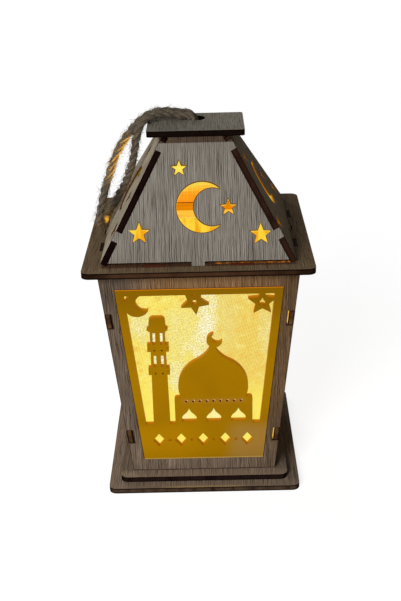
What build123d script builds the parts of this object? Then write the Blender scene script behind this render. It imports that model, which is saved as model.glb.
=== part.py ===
from build123d import *
import os
from math import atan2, cos, degrees, pi, radians, sin, tan

os.makedirs("parts", exist_ok=True)

# A table lantern of laser-cut board: two stepped base plates, four walls that
# spread towards the top, a broad eave plate, a four-sided roof and a cap plate.
# Millimetres, +Z up, origin in the middle of the underside, front towards -Y.

# Board and fits
SHEET = 3.0                 # board of the plates, walls, roof and cap
FIT = 0.15                  # gap round a tab in its slot
ROOT = 1.0                  # tabs and figures run this far into what carries them
OVERRUN = 1.0               # cutters run this far past the faces they open
NOTCH_GAP = 0.5             # room behind a side wall's tab in the front wall's notch
NOTCH_PLAY = 0.35           # room above and below that tab

# Base, body and eave
BODY_BOTTOM = 76.0          # outside width of the walls where they meet the base
BODY_TOP = 98.0             # outside width of the walls under the eave
BODY_HEIGHT = 120.0
STEP_MARGIN = 6.5           # upper base plate beyond the walls, each side
BASE_MARGIN = 6.0           # lower base plate beyond the upper one, each side
EAVE_MARGIN = 7.0           # eave plate beyond the walls, each side
PLATE_CORNER = 4.0          # corner radius of the three large plates
WELL_MARGIN = 5.0           # eave board left between the roof slots and the light well

# Roof and cap
ROOF_SETBACK = 1.0          # roof foot inside the walls' top, each side
ROOF_TOP = 33.2             # outside width of the roof under the cap
ROOF_RISE = 54.6
CAP_SIDE_MARGIN = 7.4       # cap beyond the roof, left and right
CAP_FRONT_MARGIN = 0.6      # cap beyond the roof, front and back
CAP_CORNER = 1.8

# Tabs
WALL_TAB_WIDTH = 11.0       # tabs at the top and foot of each wall
WALL_TAB_REACH = 21.2       # top tabs from the middle of the wall
FOOT_TAB_REACH = 17.0       # foot tabs from the middle of the wall
CORNER_TAB_HEIGHT = 7.6     # tabs of the side walls, seen from the front
LOW_TAB_RISE = 22.6         # middle of the lower corner tab above the wall's foot
HIGH_TAB_DROP = 26.7        # middle of the upper corner tab below the wall's top
ROOF_TAB_WIDTH = 6.3        # tab at the foot of each roof panel
HIP_TAB_LENGTH = 5.0        # tabs of the front and back roof panels along the hips
HIP_TAB_RISE = 13.7         # lower hip tab above the roof's foot, up the slope
HIP_TAB_DROP = 5.4          # upper hip tab below the roof's top, down the slope

# Window in each wall
STILE = 7.0                 # board beside the window
FOOT_RAIL = 7.7             # board below the window
HEAD_RAIL = 8.9             # board above the window

# Pierced screen in each window, and the diffuser behind it
SCREEN_THICK = 3.0
SCREEN_PROUD = 0.5          # screen stands out of the wall's face
SCREEN_SIDE = 4.0           # frame of the screen beside the picture
SCREEN_HEAD = 3.3           # frame above the picture
SCREEN_BAND = 22.8          # solid band below the picture
DIFFUSER_THICK = 0.8
DIFFUSER_LAP = 2.5          # diffuser beyond the window, glued to the wall

# Prayer hall of the picture, from the band upwards
HALL_SHIFT = 5.85           # middle of the hall from the middle of the wall
HALL_HALF = 20.1
HALL_HEIGHT = 16.8
HALL_CORNER = 1.4
ARCH_SPACING = 12.8
ARCH_HALF = 3.8
ARCH_SILL = 1.4
ARCH_SPRING = 3.0           # height of the arch's straight sides
ARCH_RISE = 5.6             # from there to the point
ARCH_SWELL = (0.80, 0.23)   # places on the ogee, as parts of the half width and of the rise
ARCH_TURN = (0.58, 0.385)
ARCH_HOLLOW = (0.22, 0.66)
BEAD_COUNT = 9              # row of round holes under the dome
BEAD_SPACING = 3.52
BEAD_DIAMETER = 1.3
BEAD_DROP = 2.3
DOME_FOOT = 16.6
DOME_HALF = 17.85
DOME_BELLY = 8.2            # height of the widest place above the dome's foot
DOME_SHOULDER_HALF = 9.05   # where the swell turns into the neck's hollow curve
DOME_SHOULDER_RISE = 22.2
DOME_HOLLOW_HALF = 4.4      # a place on that hollow curve
DOME_HOLLOW_RISE = 25.5
DOME_NECK = 1.6
DOME_HEIGHT = 29.4
FINIAL_LIFT = 4.8           # middle of the finial's crescent above the neck
FINIAL_SHIFT = 1.05
FINIAL_RADIUS = 3.9
FINIAL_HOLLOW = 3.0
FINIAL_BITE = 1.6           # offset of the hollow, outwards and upwards

# Minaret of the picture, from the band upwards
MINARET_SHIFT = -21.35
SHAFT_FOOT = 4.3            # half width at the band
SHAFT_TOP = 3.7             # half width under the cap
BALCONY_HALF = 5.4
BALCONY_HEIGHT = 4.2
BALCONY_DROPS = (23.6, 9.7)  # middles of the balconies below the cap
BALCONY_SLIT = (1.1, 0.6)   # small slit in each end of a balcony
BRIM_HALF = 5.2
BRIM_HEIGHT = 1.2
CAP_FOOT = 4.5              # half width of the minaret's cap at its foot
CAP_HEAD = 3.8
CAP_ROUND = 2.2
MINARET_HEIGHT = 64.9
CAP_HEIGHT = 7.9            # minaret's cap from the brim up
SLIT_WIDTH = 1.5
SLIT_HEIGHT = 6.8
SLIT_HALF_GAP = 1.85
SLIT_DROPS = (17.5, 4.2)    # middles of the slits below the cap
STUD_DIAMETER = 1.0         # small round holes in the balconies
STUD_DROP = 1.3

# Crescent and stars along the head of the picture
MOON_RADIUS = 6.2
MOON_HEAD_LAP = 0.6         # crescent runs into the picture's head
MOON_SIDE_LAP = 0.1         # and beyond the picture's side at the head
MOON_HOLLOW = 4.6
MOON_BITE = (4.1, 1.6)
STAR_RADIUS = 7.3
STAR_WAIST = 0.46           # inner radius of a star as a part of the outer one
STAR_HOLE = 1.3
MIDDLE_STAR_SHIFT = -2.4
MIDDLE_STAR_LAP = 1.7       # star runs into the picture's head
MIDDLE_STAR_TURN = 276.0
CORNER_STAR_HEAD_LAP = 2.3
CORNER_STAR_SIDE_LAP = 0.8
CORNER_STAR_TURN = 90.0

# Row of lozenges and dots pierced through the band
LOZENGE_COUNT = 5
LOZENGE_SPACING = 11.6
LOZENGE_WIDTH = 6.6
LOZENGE_HEIGHT = 8.4
LOZENGE_RISE = 12.6         # middle of the row above the screen's foot
DOT_DIAMETER = 1.8

# Crescent and stars cut in each roof panel, measured up the slope
ROOF_MOON_SHIFT = 2.4
ROOF_MOON_RISE = 28.2
ROOF_MOON_RADIUS = 12.45
ROOF_MOON_HOLLOW = 9.5
ROOF_MOON_BITE = 5.1
ROOF_STARS = ((-8.4, 47.4, 4.1), (15.1, 27.8, 4.3), (-28.2, 16.0, 5.5), (30.4, 14.4, 5.5))
ROOF_STAR_WAIST = 0.42

# Rope handle
ROPE = 4.2                  # rope diameter
ROPE_GAP = 0.4              # between the two strands in the cap's hole
ROPE_PLAY = 0.5             # between the strands and the hole's wall
ROPE_HOLE_BACK = 7.0        # hole behind the middle of the cap
ROPE_RISE = 4.0             # height of the strands' first bend above the cap
ROPE_FACES = 8              # flat faces round the rope
KNOT_DIAMETER = 15.0
KNOT_NECK = 8.8             # diameter of its flat ends
KNOT_HEIGHT = 8.6
KNOT_GAP = 2.0
KNOT_STEPS = 4              # cones between its flat ends

# Light unit that goes up into the base
LIGHT_CUP = 38.0            # cup diameter, passes the upper base plate
LIGHT_FLANGE = 46.0         # flange diameter, lies in the lower base plate
LIGHT_PLAY = 0.3            # radial room round the cup and the flange
FLOOR_GAP = 0.4             # flange above the table
LIGHT_HEIGHT = 19.6
CUP_WALL = 1.4
CUP_DECK = 1.4
CUP_FLOOR = 2.4
CUP_EDGE = 0.8              # bevelled rim of the deck
POST_HEIGHT = 4.2           # posts that carry the board under the deck
POST_DIAMETER = 4.0
POST_CIRCLE = 26.0
POST_COUNT = 3
BOARD_DIAMETER = 34.0
BOARD_THICK = 1.6
LED_DIAMETER = 5.0
LED_RIM = 5.8
LED_RIM_THICK = 1.0
LED_HEIGHT = 8.6
LED_TIP = 0.6               # radius at the tip
LED_STEPS = 3               # cones of its round nose
LED_PLAY = 0.6              # radial room round the rim in the deck's hole
LENS_DIAMETER = 17.0
LENS_HEIGHT = 25.0
LENS_BELLY = 5.5            # height of its widest place
LENS_FOOT = 1.2             # foot narrower than the belly, each side
LENS_WALL = 1.2
LENS_TIP = 1.0              # radius at the tip
LENS_STEPS = 4              # cones between the belly and the tip
CELL_DIAMETER = 20.0
CELL_THICK = 3.2
CELL_RIM = 0.8
CELL_LIFT = 0.3             # cell above the cup's floor
HATCH_THICK = 1.4
HATCH_LEDGE = 1.5
HATCH_PLAY = 0.5            # radial room of the cell in the hatch's opening
HATCH_FIT = 0.2
HATCH_SLOT = (9.0, 1.6, 0.7)
STRIP_THICK = 0.4           # contact strips
STRIP_WIDTH = 4.0
STRIP_FOOT = 3.5
STRIP_GAP = 0.1
SWITCH_RADIUS = 15.2        # switch from the cup's axis
SWITCH_BODY = (7.6, 3.0, 3.2)
KNOB = (2.4, 1.4)
KNOB_HEAD = (3.0, 1.7, 1.2)
KNOB_RECESS = 0.3           # knob above the cup's underside
SWITCH_TRAVEL = 2.2

# Heights and slopes that follow
Z_STEP = SHEET
Z_BODY = 2 * SHEET
Z_EAVE = Z_BODY + BODY_HEIGHT
Z_ROOF = Z_EAVE + SHEET
Z_CAP = Z_ROOF + ROOF_RISE
Z_TOP = Z_CAP + SHEET
STEP_WIDTH = BODY_BOTTOM + 2 * STEP_MARGIN
BASE_WIDTH = STEP_WIDTH + 2 * BASE_MARGIN
EAVE_WIDTH = BODY_TOP + 2 * EAVE_MARGIN
ROOF_BOTTOM = BODY_TOP - 2 * ROOF_SETBACK
LEAN = atan2(BODY_TOP - BODY_BOTTOM, 2 * BODY_HEIGHT)
PITCH = atan2(ROOF_BOTTOM - ROOF_TOP, 2 * ROOF_RISE)
WALL_ACROSS = SHEET / cos(LEAN)       # a wall's thickness measured level
ROOF_ACROSS = SHEET / cos(PITCH)      # a roof panel's thickness measured level
WALL_LENGTH = (BODY_HEIGHT - SHEET * sin(LEAN)) / cos(LEAN)
ROOF_FOOT = SHEET * tan(PITCH)        # a panel's square-cut foot lifts its outer edge
ROOF_HEAD = ROOF_RISE / cos(PITCH)
SHAFT_HEIGHT = MINARET_HEIGHT - CAP_HEIGHT
SIDES = ("front", "right", "back", "left")

WALL_PLANE = Plane((0, -BODY_BOTTOM / 2, Z_BODY), (1, 0, 0), (0, -cos(LEAN), -sin(LEAN)))
ROOF_PLANE = Plane((0, -ROOF_BOTTOM / 2, Z_ROOF), (1, 0, 0), (0, -cos(PITCH), sin(PITCH)))

NODES = {}


def polygon(points):
    """Closed flat outline through the points."""
    return make_face(Polyline(*points, close=True))


def slab(plane, sketch, start, thick):
    """Sheet cut from the sketch, its outer face `start` behind the plane."""
    return extrude(plane.offset(-start) * sketch, amount=-thick)


def on_side(shape, index):
    """Copy of a front piece turned to another side of the lantern."""
    return Rot(0, 0, 90 * index) * shape


def plate(width, depth, corner, bottom):
    """Level board with rounded corners."""
    outline = RectangleRounded(width, depth, corner)
    return extrude(Pos(0, 0, bottom) * outline, amount=SHEET)


def slot(reach, near, far, width, bottom):
    """Cutter through one board: from `near` to `far` in front of the middle."""
    outline = Pos(reach, -(near + far) / 2) * Rectangle(width + 2 * FIT, far - near)
    return extrude(Pos(0, 0, bottom - SHEET) * outline, amount=3 * SHEET)


def wall_half(rise):
    """Half the outside width of a wall, `rise` up its slope."""
    return BODY_BOTTOM / 2 + rise * sin(LEAN)


def hip_half(rise):
    """Half the outside width of the roof, `rise` up its slope."""
    return ROOF_BOTTOM / 2 - rise * sin(PITCH)


def taper(low, high, inset, half=wall_half):
    """Four-sided outline between two heights, `inset` inside the sloping sides."""
    near, far = half(low) - inset, half(high) - inset
    return polygon([(-near, low), (near, low), (far, high), (-far, high)])


def star(radius, waist, turn, count=5):
    """Star with one point at the angle `turn`."""
    points = []
    for step in range(2 * count):
        reach = radius if step % 2 == 0 else radius * waist
        angle = radians(turn) + pi * step / count
        points.append((reach * cos(angle), reach * sin(angle)))
    return polygon(points)


def drilled(diameter):
    """Small hole with eight sides."""
    return RegularPolygon(diameter / 2, 8)


def turned(outline):
    """Round solid from an outline of (radius, height) points."""
    return revolve(Plane.XZ * polygon(outline), Axis.Z)


def nose(wide, tip, low, high, steps):
    """Points of a rounded nose, from its foot up to its flat tip."""
    points = []
    for step in range(steps + 1):
        turn = pi / 2 * step / steps
        points.append((tip + (wide - tip) * cos(turn), low + (high - low) * sin(turn)))
    return points + [(0, high)]


def crescent(radius, hollow, bite):
    """Disc with a smaller disc taken out of it, offset by `bite`."""
    return Circle(radius) - Pos(*bite) * Circle(hollow)


# Walls

def corner_strip(middle, height, inner, outer):
    """Pair of outlines along a wall's sloping edges, `inner` to `outer` inside them."""
    low, high = middle - height / 2, middle + height / 2
    outline = polygon([(wall_half(low) - inner, low), (wall_half(low) - outer, low),
                       (wall_half(high) - outer, high), (wall_half(high) - inner, high)])
    return outline + mirror(outline, about=Plane.YZ)


CORNER_TABS = (LOW_TAB_RISE, WALL_LENGTH - HIGH_TAB_DROP)


def level_tabs():
    """Tabs at the head and foot of a wall, flush with the boards they pass."""
    head_end = (BODY_HEIGHT + SHEET * (1 - sin(LEAN))) / cos(LEAN)
    foot_end = -(SHEET - FIT) / cos(LEAN)
    tabs = Sketch()
    for side in (-1, 1):
        head, foot = (WALL_TAB_REACH, WALL_LENGTH - ROOT, head_end), (FOOT_TAB_REACH, foot_end, ROOT)
        for reach, low, high in (head, foot):
            tabs += Pos(side * reach, (low + high) / 2) * Rectangle(WALL_TAB_WIDTH, high - low)
    return tabs


def window(inset=0.0):
    """Opening of a wall, or an outline smaller by `inset` all round."""
    return taper(FOOT_RAIL + inset, WALL_LENGTH - HEAD_RAIL - inset, STILE + inset)


def lapped_wall():
    """Front or back wall: full width, open notches in its two edges."""
    outline = taper(0, WALL_LENGTH, 0) + level_tabs() - window()
    for middle in CORNER_TABS:
        outline -= corner_strip(middle, CORNER_TAB_HEIGHT + 2 * NOTCH_PLAY, WALL_ACROSS + NOTCH_GAP, -OVERRUN)
    return slab(WALL_PLANE, outline, 0, SHEET)


def tabbed_wall():
    """Side wall: stands between the lapped walls, its tabs fill their notches."""
    outline = taper(0, WALL_LENGTH, WALL_ACROSS + FIT) + level_tabs() - window()
    for middle in CORNER_TABS:
        outline += corner_strip(middle, CORNER_TAB_HEIGHT, WALL_ACROSS + FIT + ROOT, 0)
    return slab(WALL_PLANE, outline, 0, SHEET)


# Pierced screens

BAND_TOP = FOOT_RAIL + SCREEN_BAND
PICTURE_TOP = WALL_LENGTH - HEAD_RAIL - SCREEN_HEAD


def arch():
    """Ogee window opening of the hall."""
    top = ARCH_SPRING + ARCH_RISE
    swell, turn, hollow = [(ARCH_HALF * wide, ARCH_SPRING + ARCH_RISE * high)
                           for wide, high in (ARCH_SWELL, ARCH_TURN, ARCH_HOLLOW)]
    outline = Line((0, 0), (ARCH_HALF, 0)) + Line((ARCH_HALF, 0), (ARCH_HALF, ARCH_SPRING))
    outline += ThreePointArc((ARCH_HALF, ARCH_SPRING), swell, turn)
    outline += ThreePointArc(turn, hollow, (0, top)) + Line((0, top), (0, 0))
    half = make_face(outline)
    return half + mirror(half, about=Plane.YZ)


def dome():
    """Ogee dome of the hall, from its foot upwards."""
    outline = Line((0, 0), (DOME_FOOT, 0))
    shoulder, hollow = (DOME_SHOULDER_HALF, DOME_SHOULDER_RISE), (DOME_HOLLOW_HALF, DOME_HOLLOW_RISE)
    outline += ThreePointArc((DOME_FOOT, 0), (DOME_HALF, DOME_BELLY), shoulder)
    outline += ThreePointArc(shoulder, hollow, (DOME_NECK, DOME_HEIGHT))
    outline += Line((DOME_NECK, DOME_HEIGHT), (0, DOME_HEIGHT)) + Line((0, DOME_HEIGHT), (0, 0))
    half = make_face(outline)
    return half + mirror(half, about=Plane.YZ)


def hall():
    """Prayer hall with its dome, finial, arches and row of round holes."""
    block = Pos(0, (HALL_HEIGHT - ROOT) / 2) * Rectangle(2 * HALL_HALF, HALL_HEIGHT + ROOT)
    block = fillet(block.vertices().group_by(Axis.Y)[-1], HALL_CORNER)
    neck_top = HALL_HEIGHT + DOME_HEIGHT
    finial = crescent(FINIAL_RADIUS, FINIAL_HOLLOW, (FINIAL_BITE, FINIAL_BITE))
    stem_height = FINIAL_LIFT - FINIAL_RADIUS + DOME_NECK
    stem = Pos(0, neck_top + stem_height / 2) * Rectangle(2 * DOME_NECK, stem_height)
    shape = block + Pos(0, HALL_HEIGHT) * dome() + stem
    shape += Pos(FINIAL_SHIFT, neck_top + FINIAL_LIFT) * finial
    for step in (-1, 0, 1):
        shape -= Pos(step * ARCH_SPACING, ARCH_SILL) * arch()
    for step in range(BEAD_COUNT):
        across = (step - (BEAD_COUNT - 1) / 2) * BEAD_SPACING
        shape -= Pos(across, HALL_HEIGHT - BEAD_DROP) * drilled(BEAD_DIAMETER)
    return shape


def minaret():
    """Tapered tower with two balconies, paired slits and a rounded cap."""
    shape = polygon([(-SHAFT_FOOT, -ROOT), (SHAFT_FOOT, -ROOT),
                     (SHAFT_TOP, SHAFT_HEIGHT), (-SHAFT_TOP, SHAFT_HEIGHT)])
    cap = polygon([(-CAP_FOOT, SHAFT_HEIGHT), (CAP_FOOT, SHAFT_HEIGHT),
                   (CAP_HEAD, MINARET_HEIGHT), (-CAP_HEAD, MINARET_HEIGHT)])
    shape += fillet(cap.vertices().group_by(Axis.Y)[-1], CAP_ROUND)
    shape += Pos(0, SHAFT_HEIGHT + BRIM_HEIGHT) * Rectangle(2 * BRIM_HALF, BRIM_HEIGHT)
    for drop in BALCONY_DROPS:
        shape += Pos(0, SHAFT_HEIGHT - drop) * Rectangle(2 * BALCONY_HALF, BALCONY_HEIGHT)
    for side in (-1, 1):
        for drop in SLIT_DROPS:
            shape -= Pos(side * SLIT_HALF_GAP, SHAFT_HEIGHT - drop) * Rectangle(SLIT_WIDTH, SLIT_HEIGHT)
        for drop in BALCONY_DROPS:
            middle = SHAFT_HEIGHT - drop
            shape -= Pos(side * SLIT_HALF_GAP, middle - STUD_DROP) * drilled(STUD_DIAMETER)
            shape -= Pos(side * BALCONY_HALF, middle) * Rectangle(2 * BALCONY_SLIT[0], BALCONY_SLIT[1])
    return shape


def head_ornaments():
    """Crescent, hanging star and corner star joined to the picture's frame."""
    side = wall_half(PICTURE_TOP) - STILE - SCREEN_SIDE
    moon_place = (MOON_RADIUS - MOON_SIDE_LAP - side, PICTURE_TOP + MOON_HEAD_LAP - MOON_RADIUS)
    middle_place = (MIDDLE_STAR_SHIFT, PICTURE_TOP + MIDDLE_STAR_LAP - STAR_RADIUS * cos(pi / 5))
    corner_place = (side + CORNER_STAR_SIDE_LAP - STAR_RADIUS * cos(pi / 10),
                    PICTURE_TOP + CORNER_STAR_HEAD_LAP - STAR_RADIUS)
    moon = Pos(*moon_place) * crescent(MOON_RADIUS, MOON_HOLLOW, MOON_BITE)
    middle = star(STAR_RADIUS, STAR_WAIST, MIDDLE_STAR_TURN) - Circle(STAR_HOLE)
    corner = star(STAR_RADIUS, STAR_WAIST, CORNER_STAR_TURN) - star(2 * STAR_HOLE, STAR_WAIST, CORNER_STAR_TURN)
    return moon + Pos(*middle_place) * middle + Pos(*corner_place) * corner


def lozenge_row():
    """Row of lozenges with a dot between each two, to cut through the band."""
    half_wide, half_tall = LOZENGE_WIDTH / 2, LOZENGE_HEIGHT / 2
    lozenge = polygon([(half_wide, 0), (0, half_tall), (-half_wide, 0), (0, -half_tall)])
    holes = Sketch()
    for step in range(LOZENGE_COUNT):
        across = (step - (LOZENGE_COUNT - 1) / 2) * LOZENGE_SPACING
        holes += Pos(across, LOZENGE_RISE) * lozenge
        if step:
            holes += Pos(across - LOZENGE_SPACING / 2, LOZENGE_RISE) * drilled(DOT_DIAMETER)
    return holes


def screen():
    """Pierced sheet that fills a wall's window."""
    picture = taper(BAND_TOP, PICTURE_TOP, STILE + SCREEN_SIDE)
    figures = Pos(HALL_SHIFT, BAND_TOP) * hall() + Pos(MINARET_SHIFT, BAND_TOP) * minaret() + head_ornaments()
    pane = window(FIT)
    outline = pane - picture + (figures & pane) - Pos(0, FOOT_RAIL) * lozenge_row()
    return slab(WALL_PLANE, outline, -SCREEN_PROUD, SCREEN_THICK)


def diffuser():
    """Thin translucent sheet glued over the window inside the wall."""
    return slab(WALL_PLANE, window(-DIFFUSER_LAP), SHEET, DIFFUSER_THICK)


# Roof

def hip_tab(middle, grow=0.0):
    """Pair of tabs square to the panel's sloping edges, reaching out to the hips."""
    slope = atan2(sin(PITCH), 1)
    along, out = Vector(-sin(slope), cos(slope)), Vector(cos(slope), sin(slope))
    base = Vector(hip_half(middle) - ROOF_ACROSS - FIT, middle)
    reach = (ROOF_ACROSS + FIT) * cos(slope)
    half = along * (HIP_TAB_LENGTH / 2 + grow)
    inner, outer = base - out * ROOT, base + out * (reach + 4 * grow)
    corners = [inner - half, outer - half, outer + half, inner + half]
    tab = polygon([(corner.X, corner.Y) for corner in corners])
    return tab + mirror(tab, about=Plane.YZ)


HIP_TABS = (HIP_TAB_RISE, ROOF_HEAD - HIP_TAB_DROP)
ROOF_TAB_END = (FIT - SHEET * (1 - sin(PITCH))) / cos(PITCH)


def roof_ornaments():
    """Crescent and stars cut through a roof panel."""
    moon = crescent(ROOF_MOON_RADIUS, ROOF_MOON_HOLLOW, (ROOF_MOON_BITE, 0))
    holes = Pos(ROOF_MOON_SHIFT, ROOF_MOON_RISE) * moon
    for across, rise, radius in ROOF_STARS:
        holes += Pos(across, rise) * star(radius, ROOF_STAR_WAIST, 90)
    return holes


def roof_outline(inset):
    """Panel with its foot tab and cut-outs, `inset` inside the hips."""
    tab_height = ROOF_FOOT + ROOT - ROOF_TAB_END
    tab = Pos(0, ROOF_TAB_END + tab_height / 2) * Rectangle(ROOF_TAB_WIDTH, tab_height)
    return taper(ROOF_FOOT, ROOF_HEAD, inset, hip_half) + tab - roof_ornaments()


def tabbed_roof():
    """Front or back panel: stands between the side panels, its tabs reach the hips."""
    outline = roof_outline(ROOF_ACROSS + FIT)
    for middle in HIP_TABS:
        outline += hip_tab(middle)
    return slab(ROOF_PLANE, outline, 0, SHEET)


def notched_roof():
    """Side panel: runs out to the hips and is notched for its neighbours' tabs."""
    panel = slab(ROOF_PLANE, roof_outline(0), 0, SHEET)
    for middle in HIP_TABS:
        cutter = slab(ROOF_PLANE, hip_tab(middle, FIT), -SHEET, 2 * SHEET + FIT)
        panel -= on_side(cutter, 1) + on_side(cutter, 3)
    return panel


# Plates

def lower_base():
    """Lowest plate, bored for the light's flange."""
    bore = Cylinder(LIGHT_FLANGE / 2 + LIGHT_PLAY, 3 * SHEET)
    return plate(BASE_WIDTH, BASE_WIDTH, PLATE_CORNER, 0) - bore


def upper_base():
    """Second plate, bored for the light's cup and slotted for the walls' feet."""
    shape = plate(STEP_WIDTH, STEP_WIDTH, PLATE_CORNER, Z_STEP)
    shape -= Pos(0, 0, Z_STEP) * Cylinder(LIGHT_CUP / 2 + LIGHT_PLAY, 3 * SHEET)
    far = BODY_BOTTOM / 2 + FIT
    near = BODY_BOTTOM / 2 - SHEET * tan(LEAN) - WALL_ACROSS - FIT
    for index in range(4):
        for side in (-1, 1):
            shape -= on_side(slot(side * FOOT_TAB_REACH, near, far, WALL_TAB_WIDTH, Z_STEP), index)
    return shape


def eave_plate():
    """Broad plate over the walls: tab slots all round and an open light well."""
    shape = plate(EAVE_WIDTH, EAVE_WIDTH, PLATE_CORNER, Z_EAVE)
    roof_far = ROOF_BOTTOM / 2 - ROOF_TAB_END * sin(PITCH) + FIT
    roof_near = ROOF_BOTTOM / 2 - ROOF_ACROSS - FIT
    wall_far = BODY_TOP / 2 + SHEET * tan(LEAN) + FIT
    wall_near = BODY_TOP / 2 - WALL_ACROSS - FIT
    for index in range(4):
        shape -= on_side(slot(0, roof_near, roof_far, ROOF_TAB_WIDTH, Z_EAVE), index)
        for side in (-1, 1):
            shape -= on_side(slot(side * WALL_TAB_REACH, wall_near, wall_far, WALL_TAB_WIDTH, Z_EAVE), index)
    well = 2 * (roof_near - WELL_MARGIN)
    opening = Pos(0, 0, Z_EAVE - SHEET) * RectangleRounded(well, well, PLATE_CORNER)
    return shape - extrude(opening, amount=3 * SHEET)


ROPE_HOLE = 2 * ROPE + ROPE_GAP + 2 * ROPE_PLAY
STRAND_OFFSET = (ROPE + ROPE_GAP) / 2


def cap_plate():
    """Top plate with the rope's hole behind its middle."""
    width, depth = ROOF_TOP + 2 * CAP_SIDE_MARGIN, ROOF_TOP + 2 * CAP_FRONT_MARGIN
    shape = plate(width, depth, CAP_CORNER, Z_CAP)
    return shape - Pos(0, ROPE_HOLE_BACK, Z_CAP) * Cylinder(ROPE_HOLE / 2, 3 * SHEET)


# Rope

KNOT_TOP = Z_CAP - KNOT_GAP
# Route of the loop from the middle of the cap's top: over the cap's left edge, down along
# the left roof panel, round a bight on the eave and back up clear of the roof.
ROPE_ROUTE = (
    (-9.6, 2.2, 5.0), (-18.6, -1.6, 5.6), (-26.6, -4.2, 2.6), (-30.0, -4.0, -6.6),
    (-31.6, -1.6, -17.0), (-34.4, 3.0, -26.0), (-38.0, 7.6, -34.8), (-42.8, 11.0, -43.2),
    (-47.4, 11.6, -51.2), (-51.2, 5.6, -54.6), (-51.6, -1.8, -51.0), (-49.6, -4.4, -42.2),
    (-47.0, -3.6, -32.8), (-43.6, -1.8, -23.4), (-40.0, -0.4, -14.2), (-34.4, 0.2, -6.0),
    (-27.0, 1.0, 2.2), (-17.8, 4.4, 5.2), (-8.8, 7.4, 4.6))


def rope_points():
    """Points of the rope's line, from the knot out of the hole and back to it."""
    ends = []
    for offset in (-STRAND_OFFSET, STRAND_OFFSET):
        ends.append([(0, ROPE_HOLE_BACK + offset, KNOT_TOP), (0, ROPE_HOLE_BACK + offset, Z_TOP + ROPE_RISE)])
    return ends[0] + [(x, y, Z_TOP + z) for x, y, z in ROPE_ROUTE] + ends[1][::-1]


def rope_radii(points):
    """Bend radius at each inner point, as large as its two runs allow."""
    radii = []
    for before, corner, after in zip(points, points[1:], points[2:]):
        into, out = Vector(*corner) - Vector(*before), Vector(*after) - Vector(*corner)
        half_turn = radians(into.get_angle(out)) / 2
        radii.append(0.45 * min(into.length, out.length) / tan(half_turn))
    return radii


def rope_loop():
    """Rope swept along its runs and arcs."""
    points = rope_points()
    path = FilletPolyline(*points, radius=rope_radii(points))
    section = RegularPolygon(ROPE / 2, ROPE_FACES)
    rope = sweep(Plane(origin=path @ 0, z_dir=path % 0) * section, path=path)
    print("rope radii", [round(radius, 1) for radius in rope_radii(points)])
    print("rope length", round(path.length, 1), "volume over section", round(rope.volume / section.area, 1))
    return rope


def rope_knot():
    """Lump of the knotted ends under the cap, flat where the strands leave it."""
    outline = [(0, -KNOT_HEIGHT / 2)]
    for step in range(KNOT_STEPS + 1):
        share = 2 * step / KNOT_STEPS - 1
        swell = (KNOT_DIAMETER - KNOT_NECK) / 2 * (1 - share ** 2)
        outline.append((KNOT_NECK / 2 + swell, share * KNOT_HEIGHT / 2))
    outline.append((0, KNOT_HEIGHT / 2))
    return Pos(0, ROPE_HOLE_BACK, KNOT_TOP - KNOT_HEIGHT / 2) * turned(outline)


# Light unit, heights from its underside

LIGHT_BASE = FLOOR_GAP
DECK_UNDER = LIGHT_BASE + LIGHT_HEIGHT - CUP_DECK
BOARD_TOP = DECK_UNDER - POST_HEIGHT
BOARD_UNDER = BOARD_TOP - BOARD_THICK
CELL_BOTTOM = LIGHT_BASE + CUP_FLOOR + CELL_LIFT
CELL_TOP = CELL_BOTTOM + CELL_THICK
HATCH_OPENING = CELL_DIAMETER + 2 * HATCH_PLAY
HATCH_DIAMETER = HATCH_OPENING + 2 * HATCH_LEDGE


def rod(diameter, low, high):
    """Upright cylinder between two heights."""
    return Pos(0, 0, (low + high) / 2) * Cylinder(diameter / 2, high - low)


def block(size, low):
    """Upright block on a height."""
    return Pos(0, 0, low + size[2] / 2) * Box(*size)


def light_housing():
    """Flanged cup with a deck, board posts, hatch opening and switch slot."""
    top = LIGHT_BASE + LIGHT_HEIGHT
    cup = rod(LIGHT_CUP, LIGHT_BASE, top)
    cup = chamfer(cup.edges().group_by(Axis.Z)[-1], CUP_EDGE)
    shape = cup + rod(LIGHT_FLANGE, LIGHT_BASE, Z_STEP)
    shape -= rod(LIGHT_CUP - 2 * CUP_WALL, LIGHT_BASE + CUP_FLOOR, DECK_UNDER)
    shape -= rod(LED_RIM + 2 * LED_PLAY, DECK_UNDER - OVERRUN, top + OVERRUN)
    shape -= rod(HATCH_DIAMETER + 2 * HATCH_FIT, LIGHT_BASE - OVERRUN, LIGHT_BASE + HATCH_THICK + HATCH_FIT)
    shape -= rod(HATCH_OPENING, LIGHT_BASE - OVERRUN, LIGHT_BASE + CUP_FLOOR + OVERRUN)
    opening = (KNOB[0] + SWITCH_TRAVEL + 2 * HATCH_FIT, KNOB[1] + 2 * HATCH_FIT, 2 * CUP_FLOOR)
    shape -= Pos(0, -SWITCH_RADIUS) * block(opening, LIGHT_BASE - CUP_FLOOR / 2)
    for step in range(POST_COUNT):
        post = Pos(0, POST_CIRCLE / 2) * rod(POST_DIAMETER, BOARD_TOP, DECK_UNDER)
        shape += Rot(0, 0, 360 / POST_COUNT * step) * post
    return shape


def light_lens():
    """Hollow flame-shaped lens over the diode, standing on the deck."""
    def flame(inset):
        wide, high = LENS_DIAMETER / 2 - inset, LENS_HEIGHT - 2 * inset
        return turned([(0, 0), (wide - LENS_FOOT, 0)] + nose(wide, LENS_TIP, LENS_BELLY, high, LENS_STEPS))

    return Pos(0, 0, LIGHT_BASE + LIGHT_HEIGHT) * (flame(0) - flame(LENS_WALL))


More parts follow.
